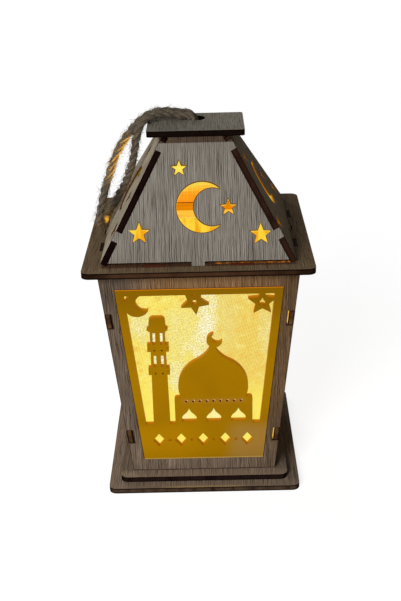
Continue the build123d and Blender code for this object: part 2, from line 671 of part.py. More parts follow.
def light_diode():
    """Round light-emitting diode standing on the board."""
    radius = LED_DIAMETER / 2
    outline = [(0, 0), (LED_RIM / 2, 0), (LED_RIM / 2, LED_RIM_THICK), (radius, LED_RIM_THICK)]
    outline += nose(radius, LED_TIP, LED_HEIGHT - radius, LED_HEIGHT, LED_STEPS)
    return Pos(0, 0, BOARD_TOP) * turned(outline)


def coin_cell():
    """Flat round battery with its narrower pole on top."""
    can = rod(CELL_DIAMETER, CELL_BOTTOM, CELL_TOP - CELL_RIM)
    return can + rod(CELL_DIAMETER - 2 * CELL_RIM, CELL_TOP - CELL_RIM, CELL_TOP)


def strip(points):
    """Bent contact strip through points in the XZ plane."""
    band = trace(Polyline(*points), line_width=STRIP_THICK)
    return extrude(Plane.XZ * band, amount=STRIP_WIDTH / 2, both=True)


def side_contact():
    """Strip from the board down the side of the cell."""
    across = CELL_DIAMETER / 2 + STRIP_GAP + STRIP_THICK / 2
    top = BOARD_UNDER - STRIP_THICK / 2
    return strip([(across + STRIP_FOOT, top), (across, top), (across, CELL_BOTTOM + CELL_RIM)])


def top_contact():
    """Sprung strip from the board down to the top of the cell."""
    top, low = BOARD_UNDER - STRIP_THICK / 2, CELL_TOP + STRIP_GAP + STRIP_THICK / 2
    reach = CELL_DIAMETER / 2 - 2 * CELL_RIM - STRIP_FOOT / 2
    return strip([(-reach, top), (STRIP_FOOT - reach, top), (0, low), (STRIP_FOOT, low)])


def battery_hatch():
    """Round cover under the cell with a coin slot and a boss that carries the cell."""
    top = LIGHT_BASE + HATCH_THICK
    shape = rod(HATCH_DIAMETER, LIGHT_BASE, top) + rod(CELL_DIAMETER - 2 * HATCH_LEDGE, top, CELL_BOTTOM)
    return shape - block(HATCH_SLOT, LIGHT_BASE) - Pos(0, 0, -HATCH_SLOT[2]) * block(HATCH_SLOT, LIGHT_BASE)


KNOB_REST = SWITCH_TRAVEL / 2
SWITCH_FLOOR = LIGHT_BASE + CUP_FLOOR


def switch_body():
    """Small slide-switch case on the cup's floor, hollow for the knob's head."""
    head_length, head_width, head_height = KNOB_HEAD
    hollow = (head_length + SWITCH_TRAVEL + 2 * HATCH_FIT, head_width + 2 * HATCH_FIT, head_height + HATCH_FIT)
    shape = block(SWITCH_BODY, SWITCH_FLOOR) - block(hollow, SWITCH_FLOOR)
    return Pos(0, -SWITCH_RADIUS, 0) * shape


def switch_knob():
    """Sliding knob that reaches down through the cup's floor, at its lit end."""
    low = LIGHT_BASE + KNOB_RECESS
    shape = block((*KNOB, SWITCH_FLOOR - low), low) + block(KNOB_HEAD, SWITCH_FLOOR)
    return Pos(KNOB_REST, -SWITCH_RADIUS, 0) * shape


for place, name in enumerate(SIDES):
    lapped = place % 2 == 0
    NODES[name + "_wall"] = on_side(lapped_wall() if lapped else tabbed_wall(), place)
    NODES[name + "_screen"] = on_side(screen(), place)
    NODES[name + "_diffuser"] = on_side(diffuser(), place)
    NODES[name + "_roof_panel"] = on_side(tabbed_roof() if lapped else notched_roof(), place)

NODES["lower_base_plate"] = lower_base()
NODES["upper_base_plate"] = upper_base()
NODES["eave_plate"] = eave_plate()
NODES["cap_plate"] = cap_plate()
NODES["rope_loop"] = rope_loop()
NODES["rope_knot"] = rope_knot()
NODES["light_housing"] = light_housing()
NODES["light_lens"] = light_lens()
NODES["light_diode"] = light_diode()
NODES["light_board"] = rod(BOARD_DIAMETER, BOARD_UNDER, BOARD_TOP)
NODES["coin_cell"] = coin_cell()
NODES["cell_side_contact"] = side_contact()
NODES["cell_top_contact"] = top_contact()
NODES["battery_hatch"] = battery_hatch()
NODES["switch_body"] = switch_body()
NODES["switch_knob"] = switch_knob()

for name, shape in NODES.items():
    export_step(Compound(shape.solids()), os.path.join("parts", name + ".step"))

print("lean", round(degrees(LEAN), 2), "roof pitch", round(degrees(PITCH), 2), "height", round(Z_TOP, 2))
print("nodes", len(NODES))
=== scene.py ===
"""Looks of a table lantern of laser-cut board, built around its packed construction.

Metres, +Z up, front towards -Y. Colours are written in display values and kept linear.
"""

import logging
import math
import random
from dataclasses import dataclass, field, replace
from enum import Enum
from functools import cache
from typing import Callable, ClassVar, Mapping, Optional, Sequence, Union

import bpy
import numpy as np
from mathutils import Matrix, Vector


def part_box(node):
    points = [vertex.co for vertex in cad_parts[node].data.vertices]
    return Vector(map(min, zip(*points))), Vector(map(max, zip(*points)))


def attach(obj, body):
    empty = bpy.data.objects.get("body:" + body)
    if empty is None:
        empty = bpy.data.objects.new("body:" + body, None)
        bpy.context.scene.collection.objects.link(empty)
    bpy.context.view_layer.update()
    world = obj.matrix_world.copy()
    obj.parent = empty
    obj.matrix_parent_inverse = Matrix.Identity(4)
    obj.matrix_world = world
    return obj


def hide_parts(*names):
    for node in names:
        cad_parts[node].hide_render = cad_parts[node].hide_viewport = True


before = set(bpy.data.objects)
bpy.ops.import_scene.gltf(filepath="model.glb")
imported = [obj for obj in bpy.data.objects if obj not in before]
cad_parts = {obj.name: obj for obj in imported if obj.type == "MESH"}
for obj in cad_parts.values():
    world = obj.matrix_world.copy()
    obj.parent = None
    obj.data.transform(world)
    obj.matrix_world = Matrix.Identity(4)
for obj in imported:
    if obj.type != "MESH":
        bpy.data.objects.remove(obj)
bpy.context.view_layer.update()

log = logging.getLogger("lantern")

Colour = tuple[float, float, float, float]
Point = tuple[float, float, float]
Span = tuple[float, float]
Feed = Union["Wire", float, Sequence[float]]
Settings = Mapping[str, object]
Feeds = Mapping[Union[str, int], Feed]

NOTHING: dict = {}
MM = 0.001
RIGHT = (1.0, 0.0, 0.0)
BACK = (0.0, 1.0, 0.0)
UP = (0.0, 0.0, 1.0)
FULL_TURN = 2.0 * math.pi
HALF = 0.5
# Share of a normal along an axis from which a face looks that way, and below which it stands edge-on
FACING = 0.9
EDGE_ON = 0.1


def mm(*values: float) -> tuple[float, ...]:
    """Metres of lengths in millimetres."""
    return tuple(value * MM for value in values)


def paint(red: float, green: float, blue: float) -> Colour:
    """Linear colour of a display colour from 0 to 255."""
    def linear(value: float) -> float:
        """Linear level of one display level."""
        share = value / 255.0
        return share / 12.92 if share <= 0.04045 else ((share + 0.055) / 1.055) ** 2.4

    return (linear(red), linear(green), linear(blue), 1.0)


def grey(level: float) -> Colour:
    """Linear grey of a level from 0 to 1."""
    return (level, level, level, 1.0)


class Side(Enum):
    """Sides of the lantern, in the order in which they are dressed."""

    FRONT = "front"
    RIGHT = "right"
    BACK = "back"
    LEFT = "left"


class Layer(Enum):
    """Shift of each layer of noise, so that no two layers on a sheet match."""

    MAIN = 0.0
    SCRATCHES = 3.0
    SWAY = 5.0
    THREADS = 9.0
    WIDE_GRAIN = 11.0
    SPECKS = 17.0
    PORES = 23.0
    BLOTCHES = 29.0
    CUT_EDGE = 31.0
    DRIFT = 37.0
    COLUMNS = 41.0


# Shader expressions


class Wire:
    """Output of a shader node; arithmetic on it adds the nodes that it needs."""

    def __init__(self, surface: "Surface", socket: bpy.types.NodeSocket) -> None:
        """Keep the socket and the surface whose tree holds it."""
        self.surface = surface
        self.socket = socket

    def _join(self, operation: str, left: Feed, right: Feed) -> "Wire":
        """Join two operands as values, vectors or colours.

        Args:
            operation: Name of the Math operation.
            left: First operand.
            right: Second operand.

        Returns:
            The result, of the richer kind of the two.
        """
        kinds = {kind_of(left), kind_of(right)}
        if "RGBA" in kinds:
            return self.surface.mix(1.0, as_colour(left), as_colour(right), operation)
        if "VECTOR" in kinds:
            feeds = {0: as_vector(left), 1: as_vector(right)}
            return self.surface.node("VectorMath", {"operation": operation}, feeds)
        return self.surface.node("Math", {"operation": operation}, {0: left, 1: right})

    def __add__(self, other: Feed) -> "Wire":
        """Sum."""
        return self._join("ADD", self, other)

    def __radd__(self, other: Feed) -> "Wire":
        """Sum, reflected."""
        return self._join("ADD", other, self)

    def __sub__(self, other: Feed) -> "Wire":
        """Difference."""
        return self._join("SUBTRACT", self, other)

    def __rsub__(self, other: Feed) -> "Wire":
        """Difference, reflected."""
        return self._join("SUBTRACT", other, self)

    def __mul__(self, other: Feed) -> "Wire":
        """Product."""
        return self._join("MULTIPLY", self, other)

    def __rmul__(self, other: Feed) -> "Wire":
        """Product, reflected."""
        return self._join("MULTIPLY", other, self)

    def __truediv__(self, other: Feed) -> "Wire":
        """Quotient."""
        return self._join("DIVIDE", self, other)

    def __rtruediv__(self, other: Feed) -> "Wire":
        """Quotient, reflected."""
        return self._join("DIVIDE", other, self)

    def __neg__(self) -> "Wire":
        """Value with its sign turned."""
        return self * -1.0

    def absolute(self) -> "Wire":
        """Size of a value without its sign."""
        return self.surface.node("Math", {"operation": "ABSOLUTE"}, {0: self})

    def sine(self) -> "Wire":
        """Sine of a value in radians."""
        return self.surface.node("Math", {"operation": "SINE"}, {0: self})

    def above(self, edge: float) -> "Wire":
        """One where the value is over the edge, zero elsewhere."""
        return self.surface.node("Math", {"operation": "GREATER_THAN"}, {0: self, 1: edge})

    def larger(self, other: Feed) -> "Wire":
        """The larger of two values."""
        return self._join("MAXIMUM", self, other)

    def smaller(self, other: Feed) -> "Wire":
        """The smaller of two values."""
        return self._join("MINIMUM", self, other)

    def scaled(self, base: float, swing: float) -> "Wire":
        """Base plus the value's share of a swing."""
        return base + self * swing

    def centred(self, swing: float) -> "Wire":
        """Swing to both sides of zero, for a value about one half."""
        return (self - HALF) * swing

    def rise(self, low: float, high: float) -> "Wire":
        """Smooth step from zero at `low` to one at `high`; `low` may be the larger."""
        feeds = {"Value": self, "From Min": low, "From Max": high}
        return self.surface.node("MapRange", {"interpolation_type": "SMOOTHSTEP"}, feeds, "Result")

    def dot(self, axis: Sequence[float]) -> "Wire":
        """Length of a vector along a fixed axis."""
        settings = {"operation": "DOT_PRODUCT"}
        return self.surface.node("VectorMath", settings, {0: self, 1: tuple(axis)}, "Value")


def kind_of(feed: Feed) -> str:
    """Socket type that an operand asks for."""
    if isinstance(feed, Wire):
        return feed.socket.type
    return "VALUE" if isinstance(feed, (int, float)) else {3: "VECTOR", 4: "RGBA"}[len(feed)]


def as_colour(feed: Feed) -> Feed:
    """Grey colour of a plain number; anything else as it is."""
    return grey(feed) if isinstance(feed, (int, float)) else feed


def as_vector(feed: Feed) -> Feed:
    """Even vector of a plain number; anything else as it is."""
    return (feed, feed, feed) if isinstance(feed, (int, float)) else feed


class Surface:
    """Node tree of one material, or of the world."""

    def __init__(self, name: str, world: bool = False) -> None:
        """Start an empty tree.

        Args:
            name: Name of the material or world.
            world: Whether it is a world.
        """
        self.output = "ShaderNodeOutputWorld" if world else "ShaderNodeOutputMaterial"
        self.owner = (bpy.data.worlds if world else bpy.data.materials).new(name)
        self.owner.use_nodes = True
        self.tree = self.owner.node_tree
        self.tree.nodes.clear()

    @staticmethod
    def _socket(sockets: bpy.types.bpy_prop_collection, key: Union[str, int]) -> bpy.types.NodeSocket:
        """Find a socket.

        Args:
            sockets: Inputs or outputs of a node.
            key: Place, identifier or name.

        Returns:
            The socket.
        """
        if isinstance(key, int):
            return sockets[key]
        by_identifier = [socket for socket in sockets if socket.identifier == key]
        return by_identifier[0] if by_identifier else sockets[key]

    def node(self, kind: str, settings: Settings = NOTHING, feeds: Feeds = NOTHING,
             out: Union[str, int] = 0) -> Wire:
        """Add one node.

        Args:
            kind: Node type without its ShaderNode prefix.
            settings: Properties, set before anything is linked.
            feeds: Values or wires for its sockets.
            out: Output that is handed back.

        Returns:
            The chosen output.
        """
        node = self.tree.nodes.new("ShaderNode" + kind)
        for key, value in settings.items():
            setattr(node, key, value)
        for key, value in feeds.items():
            socket = self._socket(node.inputs, key)
            if isinstance(value, Wire):
                self.tree.links.new(value.socket, socket)
            else:
                socket.default_value = value
        return Wire(self, self._socket(node.outputs, out))

    def place(self) -> Wire:
        """Place on the piece, in metres."""
        return self.node("TexCoord", out="Object")

    def normal(self) -> Wire:
        """Direction that the face looks."""
        return self.node("NewGeometry", out="True Normal")

    def vector(self, x: Feed, y: Feed, z: Feed) -> Wire:
        """Vector of three values."""
        return self.node("CombineXYZ", NOTHING, {0: x, 1: y, 2: z})

    def mix(self, factor: Feed, first: Feed, second: Feed, blend: str = "MIX") -> Wire:
        """Mix two colours.

        Args:
            factor: Share of the second colour.
            first: First colour.
            second: Second colour.
            blend: Way of mixing, such as MIX, ADD or MULTIPLY.

        Returns:
            The mixed colour.
        """
        settings = {"data_type": "RGBA", "blend_type": blend}
        feeds = {"Factor_Float": factor, "A_Color": first, "B_Color": second}
        return self.node("Mix", settings, feeds, "Result_Color")

    def tint(self, mask: Wire, colour: Wire, shade: Colour) -> Wire:
        """Colour multiplied by a shade where the mask is one."""
        return colour * self.mix(mask, grey(1.0), shade)

    def noise(self, place: Feed, detail: float = 2.0, roughness: float = 0.5) -> Wire:
        """Cloudy value about one half, with features about one unit across."""
        feeds = {"Vector": place, "Scale": 1.0, "Detail": detail, "Roughness": roughness}
        return self.node("TexNoise", {"noise_dimensions": "3D"}, feeds, 0)

    def bump(self, height: Feed, strength: float, distance: float) -> Wire:
        """Normal bent by a height in units of `distance`."""
        return self.node("Bump", NOTHING, {"Height": height, "Strength": strength, "Distance": distance})

    def principled(self, feeds: Feeds) -> bpy.types.Material:
        """Material of one principled shader."""
        return self.finish(self.node("BsdfPrincipled", NOTHING, feeds))

    def finish(self, shader: Wire) -> bpy.types.ID:
        """Lead the shader to the output.

        Args:
            shader: Shader that the surface shows.

        Returns:
            The material or world.
        """
        output = self.tree.nodes.new(self.output)
        self.tree.links.new(shader.socket, output.inputs["Surface"])
        return self.owner


# Where a flat sheet lies


@dataclass(frozen=True)
class SheetPlace:
    """Axes of one flat sheet: across it, along its grain and out of its face."""

    across: Vector
    along: Vector
    out: Vector
    foot: float
    head: float
    face: float

    @classmethod
    def of_node(cls, name: str) -> "SheetPlace":
        """Read a sheet's axes from its largest faces.

        Args:
            name: Node of the construction.

        Returns:
            Its place, with the outward side away from the lantern's middle.
        """
        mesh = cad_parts[name].data
        largest = max(mesh.polygons, key=lambda face: face.area)
        out = Vector(largest.normal).normalized()
        level = abs(out.z) > FACING
        middle = Vector(largest.center)
        if (out.z if level else out.x * middle.x + out.y * middle.y) < 0.0:
            out = -out
        across = Vector(RIGHT) if level else Vector(UP).cross(out).normalized()
        along = out.cross(across).normalized()
        heights = [vertex.co.dot(along) for vertex in mesh.vertices]
        depths = [vertex.co.dot(out) for vertex in mesh.vertices]
        return cls(across, along, out, min(heights), max(heights), max(depths))


@dataclass(frozen=True)
class Spot:
    """Wires for a place on a sheet: across, up from its foot, below its face, and how far it looks out."""

    surface: Surface
    sheet: SheetPlace
    across: Wire
    along: Wire
    depth: Wire
    facing: Wire

    @classmethod
    def on(cls, name: str, sheet: SheetPlace) -> "Spot":
        """Start the material of a sheet.

        Args:
            name: Name of the material.
            sheet: Where the sheet lies.

        Returns:
            The wires, on a fresh surface.
        """
        surface = Surface(name)
        place = surface.place()
        across, along = place.dot(sheet.across), place.dot(sheet.along) - sheet.foot
        depth = sheet.face - place.dot(sheet.out)
        return cls(surface, sheet, across, along, depth, surface.normal().dot(sheet.out))

    def height(self) -> Wire:
        """Height above the floor."""
        return self.surface.place().dot(UP)

    def backward(self) -> Wire:
        """Place from the lantern's middle towards the back, on a sheet that lies flat."""
        return self.along + self.sheet.foot

    def flat(self) -> Wire:
        """One on the sheet's two faces, zero on its cut edges."""
        return self.facing.absolute().above(FACING)

    def inner(self) -> Wire:
        """One on the face towards the lamp."""
        return (-self.facing).above(FACING)

    def at_head(self) -> Wire:
        """One on the sheet's uppermost edges."""
        return self.along.above(self.sheet.head - self.sheet.foot - HALF * MM)

    def noise(self, size: Span, seed: float, layer: Layer = Layer.MAIN, detail: float = 2.0,
              roughness: float = 0.5) -> Wire:
        """Cloudy value about one half.

        Args:
            size: Width across and length along of its features.
            seed: Shift of the sheet.
            layer: Layer of noise, with a shift of its own.
            detail: Number of finer layers in it.
            roughness: Strength of the finer layers.

        Returns:
            The value.
        """
        wide, tall = size
        place = self.surface.vector(self.across / wide, self.along / tall, seed + layer.value)
        return self.surface.noise(place, detail, roughness)


@dataclass(frozen=True)
class RoofShape:
    """Slope and limits of the roof, read from one panel and the two plates.

    Half width at the eave, run per rise, level part of a face's outward axis, heights of foot and head.
    """

    half: float
    slope: float
    lean: float
    foot: float
    head: float

    @classmethod
    @cache
    def read(cls) -> "RoofShape":
        """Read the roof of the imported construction, once.

        Returns:
            Its shape.
        """
        sheet = SheetPlace.of_node("left_roof_panel")
        _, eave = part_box("eave_plate")
        cap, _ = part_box("cap_plate")
        lean = math.hypot(sheet.out.x, sheet.out.y)
        return cls((sheet.face - sheet.out.z * eave.z) / lean, sheet.out.z / lean, lean, eave.z, cap.z)

    def half_at(self, height: Feed) -> Feed:
        """Half the width of the roof's outer faces at a height."""
        return self.half - (height - self.foot) * self.slope

    def from_rim(self, place: Vector, sheet: SheetPlace) -> float:
        """Distance from a point of a panel's face to the nearest hip, level, or to the foot or head."""
        to_hip = self.half_at(place.z) - abs(place.dot(sheet.across))
        return min(to_hip, place.z - self.foot, self.head - place.z)


# Finishes of the board


@dataclass(frozen=True)
class BoardFinish:
    """Grey wood-grain veneer on board whose laser-cut edges are scorched."""

    face: Colour
    streak: Colour
    pale: Colour
    pore: Colour = paint(52, 44, 40)
    scorch: Colour = paint(22, 12, 10)
    core: Colour = paint(78, 56, 46)
    core_share: float = 0.6
    core_even: float = 0.0
    core_depth: Span = (0.4, 0.9)
    core_patch: Span = mm(7.0, 7.0)
    core_patch_span: Span = (0.28, 0.6)
    thickness: float = 3.0 * MM
    grain_width: float = 0.47 * MM
    grain_length: float = 24.0 * MM
    grain_roughness: float = 0.62
    grain_depth: float = 0.12 * MM
    grain_bump: float = 0.4
    sway_size: Span = mm(11.0, 16.0)
    sway_lanes: float = 6.0
    wide_grain: Span = (4.0, 3.0)
    wide_share: float = 0.1
    streak_span: Span = (0.49, 0.64)
    pale_span: Span = (0.46, 0.33)
    line_spacing: float = 2.4
    line_share: float = 0.045
    drift_size: Span = mm(1.6, 9.0)
    drift_lanes: float = 3.0
    pore_grain: Span = (0.75, 0.4)
    pore_span: Span = (0.54, 0.70)
    pore_share: float = 0.5
    pore_depth: float = 0.4
    patch_size: Span = mm(20.0, 50.0)
    patch_tone: Span = (0.8, 0.4)
    roughness: float = 0.78
    roughness_swing: float = 0.2
    gloss: float = 0.02
    glow_low: Colour = paint(255, 146, 0)
    glow_high: Colour = paint(253, 232, 88)
    glow_strength: float = 0.85
    glow_climb: Span = mm(7.0, 25.0)
    glow_ragged: float = 12.0 * MM
    glow_streak: Point = mm(30.0, 1.4, 1.4)
    glow_span: Span = (0.1, 0.5)
    glow_tone: Span = (0.84, 0.36)

    def dress(self, name: str, sheet: SheetPlace, seed: float) -> bpy.types.Material:
        """Make the material of one sheet.

        Args:
            name: Name of the material.
            sheet: Where the sheet lies.
            seed: Shifts the grain, so that no two sheets match.

        Returns:
            The material.
        """
        spot = Spot.on(name, sheet)
        surface, veneer = spot.surface, spot.flat()
        grain, pores = self._grain(spot, seed)
        patches = spot.noise(self.patch_size, seed, detail=1.0)
        colour = surface.mix(grain.rise(*self.streak_span), self.face, self.streak)
        colour = surface.mix(grain.rise(*self.pale_span), colour, self.pale)
        colour = surface.mix(pores * self.pore_share, colour, self.pore)
        colour = self._shaded(spot, colour * patches.scaled(*self.patch_tone), patches)
        relief = -((grain + pores * self.pore_depth) * veneer)
        feeds = {
            "Base Color": surface.mix(veneer, self._edge(spot, seed), colour),
            "Roughness": self.roughness + grain.centred(self.roughness_swing),
            "Specular IOR Level": self.gloss,
            "Normal": surface.bump(relief, self.grain_bump, self.grain_depth),
        }
        glow = self._glow(spot)
        if glow is not None:
            feeds["Emission Color"] = glow
            feeds["Emission Strength"] = self.glow_strength
        return surface.principled(feeds)

    def _grain(self, spot: Spot, seed: float) -> tuple[Wire, Wire]:
        """Make the grain of the veneer.

        Args:
            spot: Place on the sheet.
            seed: Shift of the sheet.

        Returns:
            Streaks along the sheet, about one half, and the short dark pores between them.
        """
        width, length = self.grain_width, self.grain_length
        (wide, long), (thin, short) = self.wide_grain, self.pore_grain
        sway = spot.noise(self.sway_size, seed, Layer.SWAY, 3.0, self.grain_roughness)
        lane = replace(spot, across=spot.across + sway.centred(self.sway_lanes * width))
        pores = lane.noise((thin * width, short * length), seed, Layer.PORES, 1.0).rise(*self.pore_span)
        drift = spot.noise(self.drift_size, seed, Layer.DRIFT)
        turns = (lane.across / width + drift * self.drift_lanes) * (FULL_TURN / self.line_spacing)
        fine = lane.noise((width, length), seed, Layer.MAIN, 3.0, self.grain_roughness)
        broad = lane.noise((wide * width, long * length), seed, Layer.WIDE_GRAIN)
        cloudy = fine * (1.0 - self.wide_share) + broad * self.wide_share
        return cloudy + turns.sine() * self.line_share, pores

    def _shaded(self, spot: Spot, colour: Wire, patches: Wire) -> Wire:
        """Veneer in the light and shade of its own place; plain board has none."""
        return colour

    def _edge(self, spot: Spot, seed: float) -> Wire:
        """Colour the cut edge.

        Args:
            spot: Place on the sheet.
            seed: Shift of the sheet.

        Returns:
            Scorch at both faces, brown core between them.
        """
        share = spot.depth / self.thickness
        core = (share * (1.0 - share) * 4.0).rise(*self.core_depth)
        patches = spot.noise(self.core_patch, seed, Layer.CUT_EDGE).rise(*self.core_patch_span)
        spread = patches.scaled(self.core_even, 1.0 - self.core_even)
        return spot.surface.mix(core * spread * self.core_share, self.scorch, self.core)

    def _glow(self, spot: Spot) -> Optional[Wire]:
        """Lamplight that the sheet gives back; plain board has none."""
        return None

    def _streaks(self, spot: Spot) -> Wire:
        """Uneven streaks of lamplight, level with the floor."""
        wide, tall, deep = self.glow_streak
        place = spot.surface.vector(spot.across / wide, spot.along / tall, spot.depth / deep)
        return spot.surface.noise(place)

    def _lamplight(self, spot: Spot, share: float) -> Wire:
        """Colour the inner face as the lamp lights it.

        Args:
            spot: Place on the sheet.
            share: Part of the way to the brightest colour that it reaches.

        Returns:
            The emitted colour, on the inner face alone.
        """
        streaks = self._streaks(spot)
        level = (spot.along + streaks.centred(self.glow_ragged)).rise(*self.glow_climb) * share
        warm = spot.surface.mix(level * streaks.rise(*self.glow_span), self.glow_low, self.glow_high)
        return warm * streaks.scaled(*self.glow_tone) * spot.inner()


@dataclass(frozen=True)
class WallFinish(BoardFinish):
    """Board of a wall: painted warm lamplight at its head and right, painted shade at its sides and at the
    ends of its head, and a dark seam, partly painted contact shade, where it stands on the plate.
    """

    lamp_warmth: Colour = (1.0, 0.76, 0.49, 1.0)
    tab_end: Colour = paint(38, 30, 25)
    middle_left: Span = mm(-41.0, -17.0)
    middle_right: Span = mm(45.0, 37.0)
    head_climb: Span = mm(84.0, 116.0)
    head_strip: Span = mm(94.0, 108.0)
    head_light: float = 0.49
    head_shade: float = 0.3
    warm_right: Span = mm(12.0, 40.0)
    warm_climb: Span = mm(5.0, 50.0)
    warm_level: Span = (0.3, 0.55)
    right_across: Span = mm(14.0, 40.0)
    right_shade: float = 0.24
    left_across: Span = mm(-28.0, -37.0)
    left_climb: Span = mm(12.0, 40.0)
    left_shade: float = 0.18
    seam_height: Span = mm(0.8, 0.32)
    seam_span: Span = (0.2, 0.6)
    seam_share: float = 0.9
    inner_share: float = 0.52
    window_half: Span = mm(27.0, 33.0)
    leak: float = 0.0

    def _shaded(self, spot: Spot, colour: Wire, patches: Wire) -> Wire:
        """Lay the painted lamp warmth, the painted light and shade of the head strip, the painted shade at
        the sides and the seam, partly painted contact shade, on the veneer.

        Args:
            spot: Place on the wall.
            colour: Veneer in even light.
            patches: Slow change over the sheet.

        Returns:
            The shaded veneer.
        """
        surface, across, along = spot.surface, spot.across, spot.along
        # painted warm lamplight across the middle of the head and up the right side
        middle = across.rise(*self.middle_left) * across.rise(*self.middle_right)
        beside = across.rise(*self.warm_right) * along.rise(*self.warm_climb).scaled(*self.warm_level)
        near = (along.rise(*self.head_climb) * middle).larger(beside)
        colour = surface.tint(near, colour, self.lamp_warmth)
        # painted shade at both sides of the wall
        left = across.rise(*self.left_across) * along.rise(*self.left_climb)
        right = across.rise(*self.right_across)
        colour = colour * (1.0 - right * self.right_shade - left * self.left_shade)
        # painted light in the middle of the head strip, painted shade at its ends
        strip = along.rise(*self.head_strip)
        colour = colour * (1.0 + strip * (middle * self.head_light - self.head_shade))
        # dark line at the wall's foot: the joint with the plate, deepened with painted contact shade
        _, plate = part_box("upper_base_plate")
        seam = (spot.height() - plate.z).rise(*self.seam_height) * patches.rise(*self.seam_span)
        return surface.mix(seam * self.seam_share, colour, self.scorch)

    def _edge(self, spot: Spot, seed: float) -> Wire:
        """Cut edge, with the ends of the tabs in the eave's slots."""
        return spot.surface.mix(spot.at_head(), super()._edge(spot, seed), self.tab_end)

    def _glow(self, spot: Spot) -> Wire:
        """Lamplight behind the window, and beside it where some leaks out."""
        ends = spot.across.absolute().rise(*self.window_half)
        return self._lamplight(spot, self.inner_share) * (1.0 - ends * (1.0 - self.leak))


@dataclass(frozen=True)
class PanelFinish(BoardFinish):
    """Board of a roof panel: in shade under the cap, with lamplight in its cut-outs."""

    under_cap: Colour = (0.36, 0.27, 0.21, 1.0)
    cap_drop: Span = mm(2.9, 2.5)
    cut_share: float = 1.0
    cut_from_hip: float = 5.4 * MM
    cut_from_foot: float = 8.0 * MM
    cut_colour_depth: Span = mm(0.2, 2.0)
    cut_light_depth: Span = mm(-0.4, 1.6)
    hip_dark: Span = mm(5.0, 10.0)

    def _shaded(self, spot: Spot, colour: Wire, patches: Wire) -> Wire:
        """Veneer with the cap's shade on its uppermost strip."""
        head = RoofShape.read().head
        strip = spot.height().rise(*(head - drop for drop in self.cap_drop))
        return spot.surface.tint(strip, colour, self.under_cap)

    def _glow(self, spot: Spot) -> Wire:
        """Light the inner face away from the hips, and the walls of the cut-outs.

        Args:
            spot: Place on the panel.

        Returns:
            The emitted colour.
        """
        to_hip = RoofShape.read().half_at(spot.height()) - spot.across.absolute()
        cut = (1.0 - spot.flat()) * to_hip.above(self.cut_from_hip) * spot.along.above(self.cut_from_foot)
        lit = spot.surface.mix(spot.depth.rise(*self.cut_colour_depth), self.glow_low, self.glow_high)
        lit = lit * cut * spot.depth.rise(*self.cut_light_depth)
        return self._lamplight(spot, 1.0) * to_hip.rise(*self.hip_dark) + lit * self.cut_share


@dataclass(frozen=True)
class PlateFinish(BoardFinish):
    """Board that lies flat: painted shade beside what stands on it, a painted highlight along the front,
    painted shade at its corners.
    """

    dim_from: float = 0.0
    dim_left: float = 0.0
    dim_right: float = 0.0
    dim_blur: float = 0.8 * MM
    dim_front: Span = (1.1, 0.95)
    front_highlight: Colour = paint(186, 160, 112)
    front_highlight_share: float = 0.0
    front_highlight_reach: Span = mm(1.7, 0.9)
    front_highlight_half: Span = mm(25.0, 13.0)
    corner_turn: Span = (0.25, 0.9)
    corner_shade: float = 0.6

    def _shaded(self, spot: Spot, colour: Wire, patches: Wire) -> Wire:
        """Lay the painted shade beside the walls and the painted highlight along the front edge on the
        veneer.

        Args:
            spot: Place on the plate.
            colour: Veneer in even light.
            patches: Slow change over the sheet; not used.

        Returns:
            The shaded veneer.
        """
        across = spot.across
        # painted shade on the strips beside the walls, where the walls' shadow falls
        if self.dim_from:
            beside = spot.backward().rise(*(-self.dim_from * share for share in self.dim_front))
            low, high = self.dim_from - self.dim_blur, self.dim_from + self.dim_blur
            dim = across.rise(-low, -high) * self.dim_left + across.rise(low, high) * self.dim_right
            colour = colour * (1.0 - dim * beside)
        # painted highlight: a paler strip along the front edge of the top face
        if self.front_highlight_share:
            strip = spot.along.rise(*self.front_highlight_reach) * across.absolute().rise(*self.front_highlight_half)
            colour = spot.surface.mix(strip * self.front_highlight_share, colour, self.front_highlight)
        return colour

    def _edge(self, spot: Spot, seed: float) -> Wire:
        """Cut edge, with painted shade where it turns to the sides."""
        side = spot.surface.normal().dot(RIGHT).absolute().rise(*self.corner_turn)
        return super()._edge(spot, seed) * (1.0 - side * self.corner_shade)


